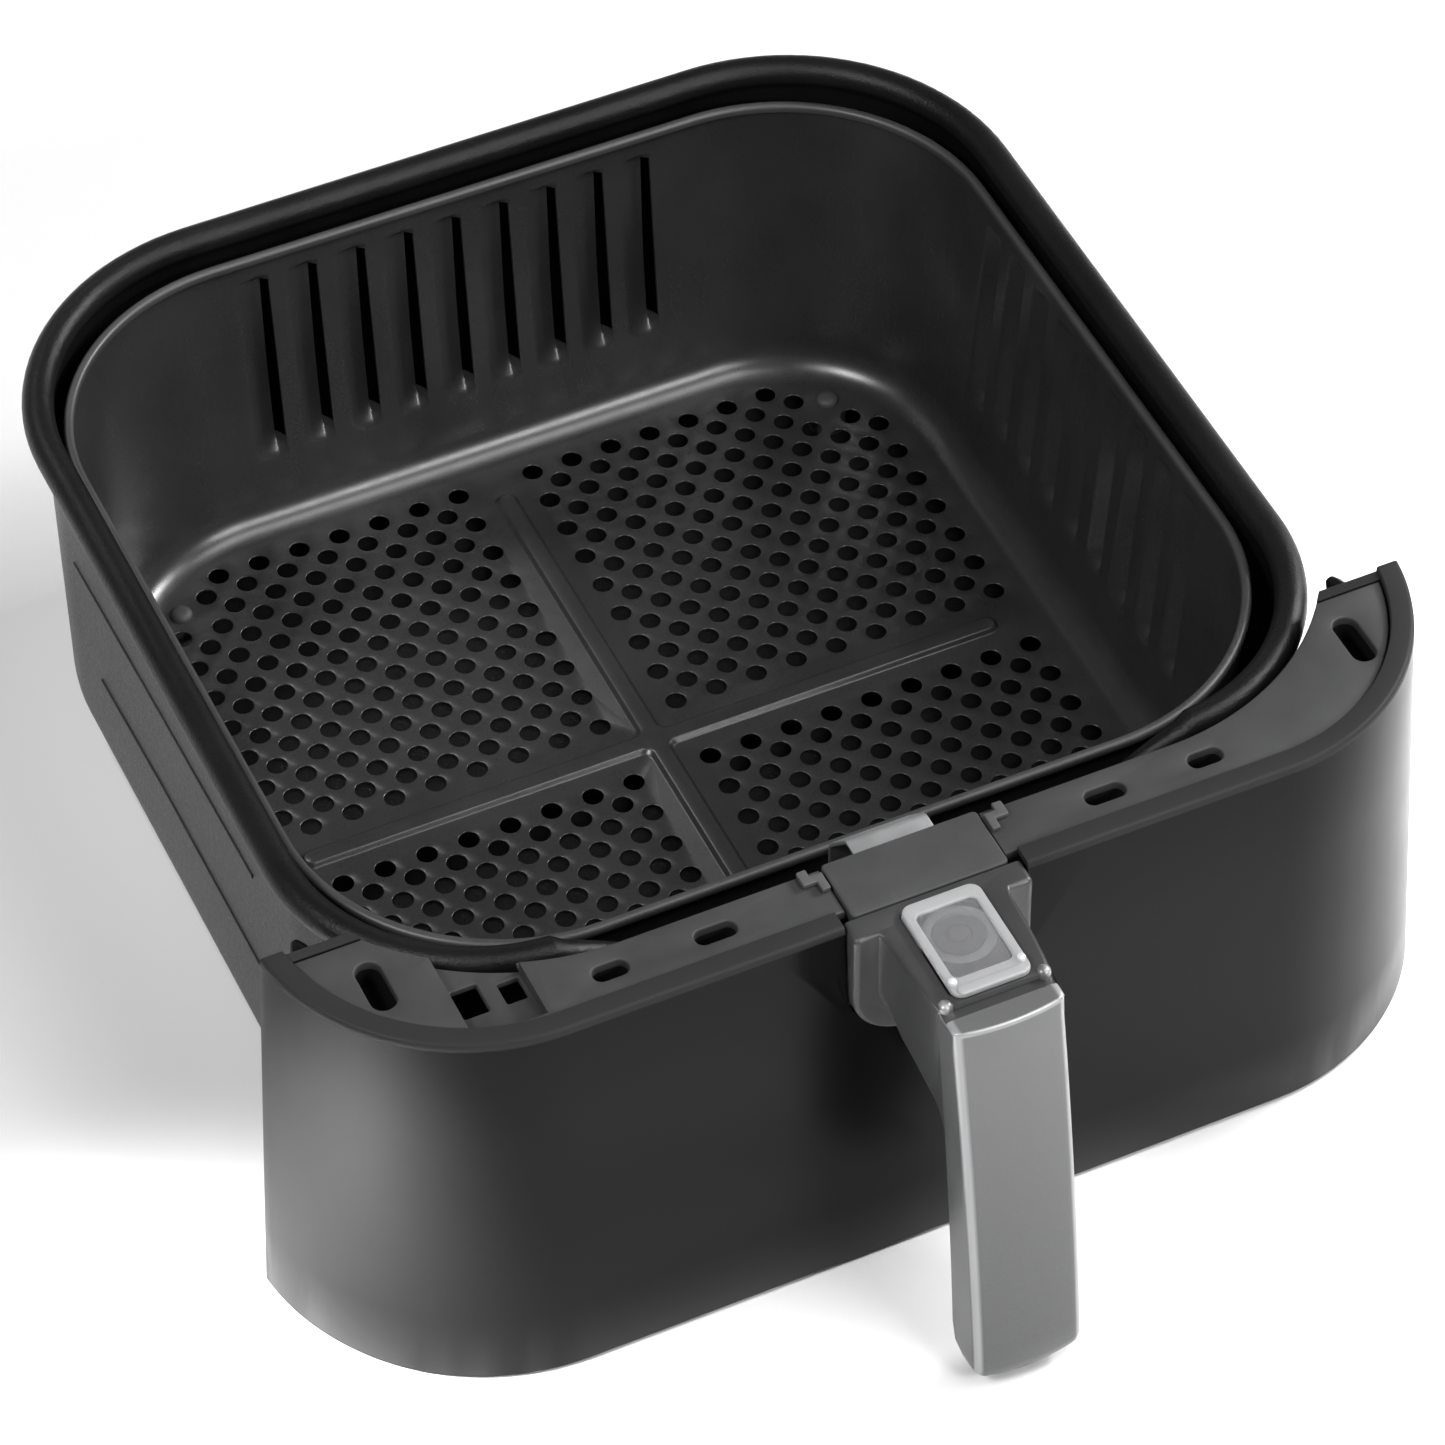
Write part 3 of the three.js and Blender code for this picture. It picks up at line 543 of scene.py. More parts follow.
class Finish:
    """A material with a principled shader, and short ways to add procedural detail. Constants
    are named after the shader's sockets, with _ for a space."""

    def __init__(self, name, roughness, **constants):
        self.material = bpy.data.materials.new(name)
        self.material.use_nodes = True
        self.tree = self.material.node_tree
        self.shader = self.tree.nodes["Principled BSDF"]
        self.shader.inputs["Roughness"].default_value = roughness
        for socket, value in constants.items():
            self.shader.inputs[socket.replace("_", " ")].default_value = value
        self.place = self.node("ShaderNodeTexCoord").outputs["Object"]

    def node(self, kind, **inputs):
        made = self.tree.nodes.new(kind)
        for socket, value in inputs.items():
            self.connect(made.inputs[socket.replace("_", " ")], value)
        return made

    def connect(self, socket, value):
        if isinstance(value, bpy.types.NodeSocket):
            self.tree.links.new(value, socket)
        else:
            socket.default_value = value

    def noise(self, size, detail=3.0, roughness=0.5, stretch=(1, 1, 1)):
        """Soft noise whose features are about size millimetres across."""
        place = self.node("ShaderNodeMapping", Vector=self.place)
        place.inputs["Scale"].default_value = stretch
        made = self.node(
            "ShaderNodeTexNoise", Vector=place.outputs[0], Scale=1 / (size * MM),
            Detail=detail, Roughness=roughness,
        )
        return made.outputs["Fac"]

    def cells(self, size):
        """Distance to the nearest of scattered points about size millimetres apart."""
        made = self.node("ShaderNodeTexVoronoi", Vector=self.place, Scale=1 / (size * MM))
        return made.outputs["Distance"]

    def span(self, value, low, high, to_low=0.0, to_high=1.0):
        """A value between low and high, spread from to_low to to_high."""
        made = self.node(
            "ShaderNodeMapRange", Value=value, From_Min=low, From_Max=high, To_Min=to_low,
            To_Max=to_high,
        )
        return made.outputs["Result"]

    def combined(self, operation, first, second):
        made = self.tree.nodes.new("ShaderNodeMath")
        made.operation = operation
        self.connect(made.inputs[0], first)
        self.connect(made.inputs[1], second)
        return made.outputs[0]

    def times(self, first, second):
        return self.combined("MULTIPLY", first, second)

    def plus(self, first, second):
        return self.combined("ADD", first, second)

    def tint(self, share, first, second):
        """A colour between two greys or colours."""
        made = self.tree.nodes.new("ShaderNodeMix")
        made.data_type = "RGBA"
        self.connect(made.inputs["Factor"], share)
        colour_inputs = [socket for socket in made.inputs if socket.type == "RGBA"]
        for socket, value in zip(colour_inputs, (first, second)):
            self.connect(socket, (*value, 1) if isinstance(value, tuple) else value)
        return next(socket for socket in made.outputs if socket.type == "RGBA")

    def colour(self, value):
        self.connect(self.shader.inputs["Base Color"], value)

    def roughness(self, value):
        self.connect(self.shader.inputs["Roughness"], value)

    def height(self):
        return self.node("ShaderNodeSeparateXYZ", Vector=self.place).outputs["Z"]

    def relief(self, height, depth):
        """Bumps of the given depth in millimetres, added to any that are there."""
        made = self.node("ShaderNodeBump", Height=height)
        made.inputs["Distance"].default_value = depth * MM
        made.inputs["Strength"].default_value = 1.0
        normal = self.shader.inputs["Normal"]
        if normal.links:
            self.tree.links.new(normal.links[0].from_socket, made.inputs["Normal"])
        self.tree.links.new(made.outputs["Normal"], normal)


def grey(level):
    """A slightly cool grey."""
    return (level, level * 1.005, level * 1.02)


def pan_coating():
    """Black non-stick enamel with a coarse grain."""
    finish = Finish("pan_coating", 0.38, Specular_IOR_Level=0.22)
    grain = finish.noise(0.8, detail=4, roughness=0.7)
    patches = finish.noise(24, detail=3)
    finish.colour(finish.tint(finish.span(patches, 0.3, 0.7), grey(0.004), grey(0.007)))
    finish.roughness(finish.span(grain, 0.3, 0.75, 0.26, 0.42))
    finish.relief(grain, 0.16)
    finish.relief(finish.noise(2.2, detail=2), 0.05)
    return finish.material


def basket_coating():
    """Dark grey non-stick coating, smoother than the pan's and lightly scuffed."""
    finish = Finish("basket_coating", 0.3, Specular_IOR_Level=0.6)
    grain = finish.noise(0.35, detail=3, roughness=0.6)
    patches = finish.noise(38, detail=4, roughness=0.6)
    scuffs = finish.noise(5, detail=4, roughness=0.7, stretch=(1, 1, 0.15))
    finish.colour(finish.tint(finish.span(patches, 0.3, 0.7), grey(0.015), grey(0.024)))
    finish.roughness(finish.plus(
        finish.span(grain, 0.3, 0.7, 0.26, 0.32), finish.span(scuffs, 0.45, 0.75, 0.0, 0.05),
    ))
    finish.relief(grain, 0.014)
    finish.relief(finish.noise(14, detail=2), 0.03)
    return finish.material


def moulded(name, level, roughness, grain_size=0.45, depth=0.02, spread=0.12, specular=0.4):
    """Moulded plastic with a fine spark-eroded texture."""
    finish = Finish(name, roughness, Specular_IOR_Level=specular)
    grain = finish.noise(grain_size, detail=4, roughness=0.6)
    patches = finish.noise(20, detail=4, roughness=0.6)
    finish.colour(finish.tint(
        finish.span(patches, 0.3, 0.7), grey(level * (1 - spread)), grey(level * (1 + spread)),
    ))
    finish.roughness(finish.span(patches, 0.25, 0.75, roughness - 0.05, roughness + 0.06))
    finish.relief(grain, depth)
    return finish.material


def fascia_plastic():
    """Black plastic, glossy on the walls and matt along the top band."""
    finish = Finish("fascia_plastic", 0.26, Specular_IOR_Level=0.12)
    patches = finish.noise(28, detail=3)
    on_band = finish.span(finish.height(), 109.8 * MM, 110.4 * MM)
    finish.colour(finish.tint(on_band, grey(0.003), grey(0.022)))
    finish.roughness(finish.plus(
        finish.span(patches, 0.3, 0.7, 0.22, 0.27), finish.times(on_band, 0.25),
    ))
    finish.relief(finish.noise(1.6, detail=3), 0.006)
    return finish.material


def metal(name, level, roughness, stretch=(1, 1, 1), grain_size=0.4):
    """Bare metal with drawn or rolled marks."""
    finish = Finish(name, roughness, Metallic=1)
    marks = finish.noise(grain_size, detail=4, roughness=0.7, stretch=stretch)
    patches = finish.noise(9, detail=4)
    finish.colour(finish.tint(
        finish.span(patches, 0.3, 0.7), grey(level * 0.85), grey(level * 1.1),
    ))
    finish.roughness(finish.span(marks, 0.3, 0.7, roughness - 0.08, roughness + 0.12))
    finish.relief(marks, 0.012)
    return finish.material


def panel_paint():
    """Satin metallic lacquer, darker towards the lower end, with painted highlights along the long
    edges and the top crest.
    """
    finish = Finish("panel_paint", 0.36, Metallic=0.45, Coat_Weight=0.25, Coat_Roughness=0.3)
    flakes = finish.cells(0.22)
    patches = finish.noise(30, detail=3)
    base = finish.tint(finish.span(finish.height(), 10 * MM, 100 * MM), grey(0.07), grey(0.14))
    flaked = finish.tint(finish.times(finish.span(flakes, 0.1, 0.8), 0.25), base, grey(0.2))
    # Painted highlights: a strip along each long rounded edge and a band along the top crest are
    # lightened towards pale grey.
    across = finish.node("ShaderNodeSeparateXYZ", Vector=finish.place).outputs["X"]
    reach = finish.times(across, across)
    edge = finish.span(reach, (11.6 * MM) ** 2, (12.4 * MM) ** 2)
    rim = finish.span(reach, (13.5 * MM) ** 2, (13.3 * MM) ** 2)
    crest = finish.times(
        finish.span(finish.height(), 108.5 * MM, 109 * MM),
        finish.span(finish.height(), 109.86 * MM, 109.7 * MM),
    )
    painted_highlight = finish.plus(finish.times(edge, rim), crest)
    finish.colour(finish.tint(painted_highlight, flaked, grey(0.34)))
    finish.roughness(finish.span(patches, 0.3, 0.7, 0.32, 0.40))
    finish.relief(finish.noise(0.5, detail=3), 0.012)
    return finish.material


def clear_plastic(name, roughness, level, weight):
    """Worn clear plastic with haze and fine scratches; weight is how much light it lets in."""
    finish = Finish(name, roughness, Transmission_Weight=weight, IOR=1.46)
    haze = finish.noise(3.5, detail=4, roughness=0.6)
    scratches = finish.noise(1.2, detail=4, roughness=0.7, stretch=(1, 0.08, 1))
    finish.colour(finish.tint(finish.span(haze, 0.3, 0.7), grey(level), grey(level * 1.06)))
    finish.roughness(finish.plus(
        finish.span(haze, 0.35, 0.7, roughness, roughness + 0.08),
        finish.span(scratches, 0.62, 0.75, 0.0, 0.10),
    ))
    finish.relief(scratches, 0.006)
    return finish.material


PAN_COATING = pan_coating()
# A lighter, rougher copy of the basket's coating for the rim: its lighter colour is painted light,
# the even brightness along the lit rim.
LIT_RIM_COATING = moulded("lit_rim_coating", 0.035, 0.46, grain_size=0.8, depth=0.02, specular=0.6)
BASKET_COATING = basket_coating()
FASCIA_PLASTIC = fascia_plastic()
TRIM_PLASTIC = moulded("trim_plastic", 0.031, 0.6, grain_size=0.8, depth=0.05, spread=0.2)
# Near-black and with hardly any reflection: painted shade for the depth inside the trim's slots.
SLOT_SHADE_PLASTIC = moulded("slot_shade_plastic", 0.004, 0.8, specular=0.1)
POCKET_PLASTIC = moulded("pocket_plastic", 0.03, 0.62, depth=0.04, spread=0.2)
HANDLE_PLASTIC = moulded("handle_plastic", 0.036, 0.36, specular=0.5)
COVER_PLASTIC = moulded("cover_plastic", 0.038, 0.6, grain_size=1.2, depth=0.04, spread=0.25)
BUTTON_PLASTIC = moulded("button_plastic", 0.24, 0.42)
INLAY_PLASTIC = moulded("inlay_plastic", 0.07, 0.5)
SILICONE = moulded("silicone", 0.04, 0.6, grain_size=0.3, depth=0.01)
BARE_STEEL = metal("bare_steel", 0.75, 0.42, stretch=(1, 12, 12))
SCREW_STEEL = metal("screw_steel", 0.5, 0.3)
SPRING_STEEL = metal("spring_steel", 0.42, 0.26)
PANEL_PAINT = panel_paint()
CLEAR_WINDOW = clear_plastic("clear_window", 0.06, 0.8, 0.9)
CLEAR_FRAME = clear_plastic("clear_frame", 0.34, 0.6, 0.6)
# Pale, mostly opaque plastic for the guard's studs: the studs are real bumps, and their pale colour
# is a painted glint.
STUD_GLINT_PLASTIC = clear_plastic("stud_glint_plastic", 0.3, 0.62, 0.2)


# ---- drawer: pan ----

def pan_profile(share):
    """(offset, z) up the outside and down the inside; share is 1 for the full bead."""
    radius = LOW_BEAD_RADIUS + (BEAD_RADIUS - LOW_BEAD_RADIUS) * share
    centre_z = LOW_BEAD_CENTRE_Z + (BEAD_CENTRE_Z - LOW_BEAD_CENTRE_Z) * share
    centre_offset = (BEAD_REACH - BEAD_RADIUS) * share - 0.2 * (1 - share)
    wall_top = centre_z - radius - 0.6
    bead = arc((centre_offset, centre_z), radius, -72, 222, 22)
    inner = fillet_profile(-PAN_WALL, PAN_WALL, PAN_FILLET - PAN_WALL, 8)[::-1]
    return [
        *fillet_profile(0, 0, PAN_FILLET, 9), (0, wall_top * 0.5), (0, wall_top),
        *[tuple(point) for point in bead], (-PAN_WALL, wall_top), (-PAN_WALL, wall_top * 0.5),
        *inner,
    ]


def pan_shell():
    """Pressed pan with a rolled bead, which drops to a low rim behind the fascia."""
    extra = [(x, 0, False) for x in range(-60, 61, 10)]
    columns = columns_around(PAN, {"front": extra})
    surface = Surface()
    tracks = []
    for column in columns:
        share = 1.0
        if column.ny < 0:
            share = blend_step((abs(column.x) - LOW_RIM_START_X + 4) / 12)
        tracks.append([column.at(offset, z) for offset, z in pan_profile(share)])
    rows = [surface.loop(row) for row in zip(*tracks)]
    surface.stack(rows)
    surface.cap(rows[0], rows[-1])
    shell = outwards(surface.object("pan_shell", PAN_COATING))
    fit(shell, "drawer", "pan_coating", "outer_pan")


# pressed guide lines on the pan's side walls: (y, z) corners of each
GUIDE_LINES = {
    "low": [(52, 38.7), (9, 41.2), (-58, 41.8)],
    "high": [(64, 68.6), (6, 71.5), (-58, 74.3)],
}


def guide_lines():
    """Two shallow ridges along each side wall."""
    steps = 12
    for side_name, side in (("left", -1), ("right", 1)):
        x = side * (PAN["half_width"] - 0.5)
        for height_name, corners in GUIDE_LINES.items():
            points = []
            for start, end in zip(corners, corners[1:]):
                for step in range(steps):
                    y, z = Vector(start).lerp(Vector(end), step / steps)
                    points.append(Vector((x, y, z)))
            ridge = wire(f"pan_guide_{height_name}_{side_name}", PAN_COATING, points, 0.9, 12)
            fit(ridge, "drawer", "pan_coating")


# ---- drawer: fascia ----

def rear_arc(centre, radius, rear, steps):
    """Right-hand front corner of an outline, from its front to where it meets y = rear."""
    short = math.degrees(math.asin((centre[1] - rear) / radius))
    return arc(centre, radius, 270, 360 - short, steps)


def fascia_ring(offset):
    """Points along the fascia from the left wing's end to the right wing's end."""
    right = rear_arc(FASCIA_CENTRE, FASCIA_CORNER + offset, WING_END_Y, 30)
    left = mirrored(right[::-1])
    middle = [Vector((x, FASCIA_FRONT - offset)) for x in range(-80, 81, 20)]
    return [*left, *middle, *right]


def flare_at(z):
    """How far the wall stands out at a height, compared with its top."""
    return FASCIA_FLARE * (FASCIA_HIGH.z - z) / (FASCIA_HIGH.z - FASCIA_LOW.z)


def fascia_profile():
    """(offset, z) around the fascia's wall."""
    top = FASCIA_HIGH.z
    low = FASCIA_LOW.z
    face = [(flare_at(z), z) for z in (low, 20, 50, 80, top - 1.6)]
    edge = [tuple(point) for point in arc((-1.1, top - 1.2), 1.2, 17, 90, 4)[1:]]
    return [
        *face, *edge, (-FASCIA_BAND + 0.3, top), (-FASCIA_BAND, top - 0.3),
        (-FASCIA_BAND, top - 2.4), (-FASCIA_WALL, top - 2.4),
        (FASCIA_FLARE - FASCIA_WALL, low + 2.5), (0, low + 2.5), (0, low),
    ]


def saddle_outline(gap, top, top_radius=0):
    """U shape of the handle's saddle, widened by a gap."""
    x = SADDLE_HALF_WIDTH + gap
    bottom = SADDLE_BOTTOM_Z - gap
    radius = SADDLE_RADIUS + gap
    return outline([
        (-x, top, top_radius), (-x, bottom, radius), (x, bottom, radius), (x, top, top_radius),
    ], 14)


def trim_opening():
    """Outline of the space inside the trim plates, at the front and the corners."""
    right = arc(TRIM_CENTRE, TRIM_INNER_RADIUS, 270, 350, 40)
    left = mirrored(right[::-1])
    return [*left, *right]


def wing_end(side):
    """Wall across the end of a wing, a little lower than the top band."""
    low = FASCIA_LOW.z
    inner, outer = side * WING_INNER_X, side * (FASCIA_HIGH.x - WING_LEAN)
    top_outer = side * (FASCIA_HALF_WIDTH - 1.1)
    shape = outline([
        (inner, low, 0), (outer, low, 0), (top_outer, WING_END_Z, 0), (inner, WING_END_Z, 0),
    ])
    return slab(f"wing_wall_{side}", FASCIA_PLASTIC, shape, WING_END_Y - FASCIA_WALL, WING_END_Y,
                front_view, edges=(0.05, 0.05), steps=1)


def fascia():
    """Flared U-shaped wall with its top band and wing ends, cut out for the handle's saddle."""
    surface = Surface()
    rows = [
        surface.loop([Vector((p.x, p.y, z)) for p in fascia_ring(offset)])
        for offset, z in fascia_profile()
    ]
    surface.stack(rows, closed=False, ring=True)
    surface.cap([row[0] for row in rows], [row[-1] for row in rows])
    shell = outwards(surface.object("fascia_shell", FASCIA_PLASTIC))
    combine(shell, [wing_end(-1), wing_end(1)], "UNION")
    past = 5  # how far the cutters reach past the wall
    rear_x, rear_y = 70, -60
    inside = [*trim_opening(), Vector((rear_x, rear_y)), Vector((-rear_x, rear_y))]
    opening = slab("opening", FASCIA_PLASTIC, inside, FASCIA_LOW.z - past, FASCIA_HIGH.z + past)
    notch = slab("notch", FASCIA_PLASTIC, saddle_outline(0.5, FASCIA_HIGH.z + past),
                 FASCIA_LOW.y - past, FASCIA_FRONT + 3 * past, front_view)
    combine(shell, [opening, notch])
    soften(shell, 0.35, angle=40)
    fit(shell, "drawer", "fascia_plastic", "front_fascia")


# ---- drawer: trim ----

def slot(x0, x1, y0, y1, radius):
    """Outline of a rectangle with rounded corners."""
    return outline([(x0, y0, radius), (x1, y0, radius), (x1, y1, radius), (x0, y1, radius)], 6)


def trim_outline():
    """Outline of the right-hand trim plate."""
    outer = rear_arc(FASCIA_CENTRE, FASCIA_CORNER - FASCIA_BAND - 0.3, TRIM_HIGH.y, 28)
    inner = rear_arc(TRIM_CENTRE, TRIM_INNER_RADIUS, TRIM_HIGH.y, 36)[::-1]
    x = TRIM_LOW.x
    return [Vector((x, outer[0].y)), *outer, *inner, Vector((x, inner[-1].y))]


TRIM_SLOTS = [
    slot(118.6, 124.6, -131.4, -116.9, 2.9),
    slot(69.2, 77.7, -144.2, -139.7, 2.1),
    slot(43.1, 53.1, -144.2, -139.7, 2.1),
]


def slot_wells():
    """Blind wells that close the slots from below, near-black so that they paint the shade deep
    inside the slots.
    """
    low, high = TRIM_HIGH.z - 9, TRIM_HIGH.z - TRIM_THICKNESS - 0.05
    for side_name, flip in (("right", False), ("left", True)):
        for k, shape in enumerate(TRIM_SLOTS):
            inside = mirrored(shape) if flip else shape
            outside = moved_in(inside, 1.2 if area(inside) < 0 else -1.2)
            well = slab(f"trim_well_{side_name}_{k}", SLOT_SHADE_PLASTIC, outside, low, high)
            hollow = slab("hollow", SLOT_SHADE_PLASTIC, inside, low + 1, high + 2, edges=(0.1, 0.1))
            combine(well, [hollow])
            fit(well, "drawer", "trim_plastic")


def trim_plates():
    """Two mirrored plates; the left one is cut out for the pocket."""
    shape, slots = trim_outline(), TRIM_SLOTS
    for side in ("right", "left"):
        plate = slab(f"trim_plate_{side}", TRIM_PLASTIC, shape, TRIM_HIGH.z - TRIM_THICKNESS,
                     TRIM_HIGH.z, holes=slots, edges=(0.2, 0.5))
        if side == "left":
            pocket = box("pocket", TRIM_PLASTIC, POCKET["x0"], POCKET["x1"], POCKET["y0"], -120,
                         100, 120)
            combine(plate, [pocket])
            soften(plate, 0.4, angle=60)
        fit(plate, "drawer", "trim_plastic", f"top_trim_{side}")
        shape, slots = mirrored(shape), [mirrored(points) for points in slots]


def trim_pocket():
    """Sunken tray with two square holes, and its three walls."""
    x0, x1, y0, floor = POCKET["x0"], POCKET["x1"], POCKET["y0"], POCKET["floor"]
    rim = 1.2
    front = y0 - rim * 0.6
    low, high = floor - 0.2, TRIM_HIGH.z - TRIM_THICKNESS + 0.1
    back = arc((-TRIM_CENTRE[0], TRIM_CENTRE[1]), TRIM_INNER_RADIUS, 270, 210, 60)
    back = [p for p in back if x0 - rim < p.x < x1 + rim]
    tray = [*back[::-1], Vector((x1 + rim, front)), Vector((x0 - rim, front))]
    holes = [
        slot(-106.9, -100.6, -138.6, -130.2, 0.5),
        slot(-96.6, -91.4, -138.6, -132.4, 0.5),
    ]
    floor_plate = slab("trim_pocket_floor", POCKET_PLASTIC, tray, floor - 1.6, floor, holes=holes,
                       edges=(0.1, 0.4))
    fit(floor_plate, "drawer", "trim_plastic")
    walls = (
        ("left", x0 - rim, x0, -129.5), ("right", x1, x1 + rim, -129.5), ("front", x0, x1, y0),
    )
    for name, left, right, rear in walls:
        wall = box(f"trim_pocket_wall_{name}", POCKET_PLASTIC, left, right, front, rear, low, high)
        fit(wall, "drawer", "trim_plastic")


def clips():
    """Stepped clips on either side of the strap's cover."""
    for name, side in (("left", -1), ("right", 1)):
        low, high = place_of(f"retention_clip_{name}")
        shape = outline([
            (side * 20, -137, 0.3), (side * 23, -137, 0.3), (side * 23, -134.9, 0.3),
            (side * 25.4, -134.9, 0.5), (side * 25.4, -139.2, 0.5), (side * 22, -139.2, 0.3),
            (side * 22, -142, 0.3), (side * 20, -142, 0.3),
        ], 4)
        clip = slab(f"clip_{name}", INLAY_PLASTIC, shape, low.z, high.z, edges=(0.1, 0.25))
        fit(clip, "drawer", "trim_plastic", f"retention_clip_{name}")


def pegs():
    """Tapered pegs that point back from the wing ends."""
    for name in ("left", "right"):
        low, high = place_of(f"locating_peg_{name}")
        centre = middle_of(f"locating_peg_{name}")
        length = high.y - low.y
        peg = turned(f"peg_{name}", FASCIA_PLASTIC, [
            (0, 0), (3.2, 0), (3.1, 0.5), (2.9, length * 0.45), (2.2, length * 0.75),
            (1.3, length * 0.95), (0.6, length * 0.99), (0, length),
        ], (centre.x, low.y, centre.z), "y")
        fit(peg, "drawer", "fascia_plastic", f"locating_peg_{name}")


# ---- bent sheet metal ----

def bent_outline(path, thickness, radius, steps=6):
    """Side view of a bent strip: path is its outer face, and the inner face lies to its left."""
    small = max(radius - thickness, 0.2)
    path = [Vector(point) for point in path]
    offset = moved_path(path, thickness)
    outer = [path[0]]
    inner = [offset[0]]
    for k in range(1, len(path) - 1):
        to_left = (path[k] - path[k - 1]).cross(path[k + 1] - path[k]) > 0
        radii = (radius, small) if to_left else (small, radius)
        outer += corner_arc(*path[k - 1:k + 2], radii[0], steps)
        inner += corner_arc(*offset[k - 1:k + 2], radii[1], steps)
    return [*outer, path[-1], offset[-1], *inner[::-1]]


def brackets():
    """Bent steel plates between the pan and the fascia."""
    for name in ("left", "right"):
        low, high = place_of(f"pan_bracket_{name}")
        path = [(low.y, 60), (low.y, low.z), (high.y, low.z), (high.y, high.z)]
        shape = bent_outline(path, 1.2, 2.2)
        bracket = slab(f"bracket_{name}", BARE_STEEL, shape, low.x, high.x, side_view,
                       edges=(0.15, 0.15), steps=2)
        fit(bracket, "drawer", "bare_steel", f"pan_bracket_{name}")


def keeper():
    """Bent catch for the latch's hook."""
    low, high = place_of("latch_keeper")
    shape = bent_outline([(high.y, high.z), (low.y, high.z), (low.y, low.z)], 1.5, 2.0)
    plate = slab("keeper_plate", BARE_STEEL, shape, low.x, high.x, side_view,
                 edges=(0.2, 0.2), steps=2)
    fit(plate, "drawer", "bare_steel", "latch_keeper")


# ---- screws and rivets ----

def screw(name, node, body):
    """Pan-head screw along y with a cross recess; its head is at the back."""
    low, high = place_of(node)
    centre = middle_of(node)
    head = (high.x - low.x) / 2
    shank = head / 2
    length = high.y - low.y
    dome = []
    for angle in (0.0, 0.4, 0.8, 1.2):
        dome.append((head * math.cos(angle), length - 0.8 + 0.8 * math.sin(angle)))
    made = turned(name, SCREW_STEEL, [
        (0, 0), (shank * 0.5, 0), (shank, shank), (shank, length - 1.9), (head, length - 1.8),
        *dome, (0, length),
    ], (centre.x, low.y, centre.z), "y", 32)
    arms = []
    for k in (0, 1):
        x, z = (head * 0.6, head * 0.14) if k else (head * 0.14, head * 0.6)
        arms.append(box(
            f"{name}_arm_{k}", SCREW_STEEL, centre.x - x, centre.x + x, high.y - 0.9, high.y + 0.5,
            centre.z - z, centre.z + z,
        ))
    combine(made, arms)
    fit(made, body, "screw_steel", node)


def fasteners():
    """Every screw, and the two rivets that hold the strap to the basket."""
    for k in range(1, 5):
        screw(f"fascia_fixing_{k}", f"fascia_screw_{k}", "drawer")
        screw(f"handle_fixing_{k}", f"handle_screw_{k}", "basket")
    for k in (1, 2):
        screw(f"keeper_fixing_{k}", f"keeper_screw_{k}", "drawer")
    for name in ("upper", "lower"):
        screw(f"panel_fixing_{name}", f"panel_screw_{name}", "basket")
    for k in (1, 2):
        low, high = place_of(f"strap_rivet_{k}")
        centre = middle_of(f"strap_rivet_{k}")
        length = high.y - low.y
        rivet = turned(f"rivet_{k}", SCREW_STEEL, [
            (0, 0), (2.4, 0), (1.6, 1), (1.6, length - 1.1), (3, length - 1.1),
            (2.9, length - 0.7), (2.2, length - 0.25), (1.2, length - 0.05), (0, length),
        ], (centre.x, low.y, centre.z), "y", 36)
        fit(rivet, "basket", "screw_steel", f"strap_rivet_{k}")


# ---- basket ----

def wall_offset(z):
    """Offset of the wall's inner face from the rim's centre line."""
    low = BASKET_FLOOR_Z + BASKET_FILLET
    high = BASKET_RIM_Z - 3.2
    return -BASKET_WALL / 2 - BASKET_LEAN * (1 - (z - low) / (high - low))


LOUVRE_FLAT = (-3.6, -2.7)  # distances from a louvre's middle, in the walking direction
LOUVRE_CUT = -2.2
LOUVRE_BEND = [  # (distance, share of the louvre's depth)
    (-0.3, 1), (0.3, 0.95), (1, 0.84), (2, 0.68), (3, 0.51), (4, 0.34), (5, 0.17), (5.6, 0.07),
    (6.2, 0.015), (6.8, 0), (8, 0),
]


def louvre_stops(shift=0.0):
    """Extra columns for a wall with louvres: cut edge, gap, and the flap's bend."""
    stops = []
    for k in range(LOUVRE_COUNT):
        middle = (k - (LOUVRE_COUNT - 1) / 2) * LOUVRE_PITCH + shift
        stops += [(middle + distance, 0, False) for distance in LOUVRE_FLAT]
        stops.append((middle + LOUVRE_CUT, 0, True))
        stops += [(middle + distance, bend, False) for distance, bend in LOUVRE_BEND]
    return stops


def louvre_depth(z):
    """The wall leans away from the pan below, so the louvres can be deeper there."""
    ends = blend_step((z - LOUVRE_LOW_Z + 6) / 6) * blend_step((LOUVRE_HIGH_Z + 2 - z) / 2)
    return ends * min(1.5 + 0.06 * (LOUVRE_HIGH_Z - z), 3.4)


# heights of the wall's rows, closer together where the louvres begin and end
WALL_ROWS = [
    22, 25, 28, 30, 31, 32, 33, 34, 35, LOUVRE_LOW_Z, 38, 41, 46, 53, 60, 67, 74, 80, 84, 86.5,
    LOUVRE_HIGH_Z, 88.5, 89, 89.5, 90, 91.5, 94.2,
]


def floor_holes():
    """Centres of the round holes: a square lattice with a second one in its gaps."""
    centres = []
    for shift, count in ((0, HOLES_PER_SIDE), (0.5, HOLES_PER_SIDE - 1)):
        for i, j in itertools.product(range(count), repeat=2):
            if min(i, j) >= HOLES_PER_SIDE - 2:  # no holes in the corner
                continue
            x = HOLE_FIRST.x + (i + shift) * HOLE_PITCH.x
            y = HOLE_FIRST.y + (j + shift) * HOLE_PITCH.y
            centres += [(x, y), (-x, y), (-x, -y), (x, -y)]
    return centres


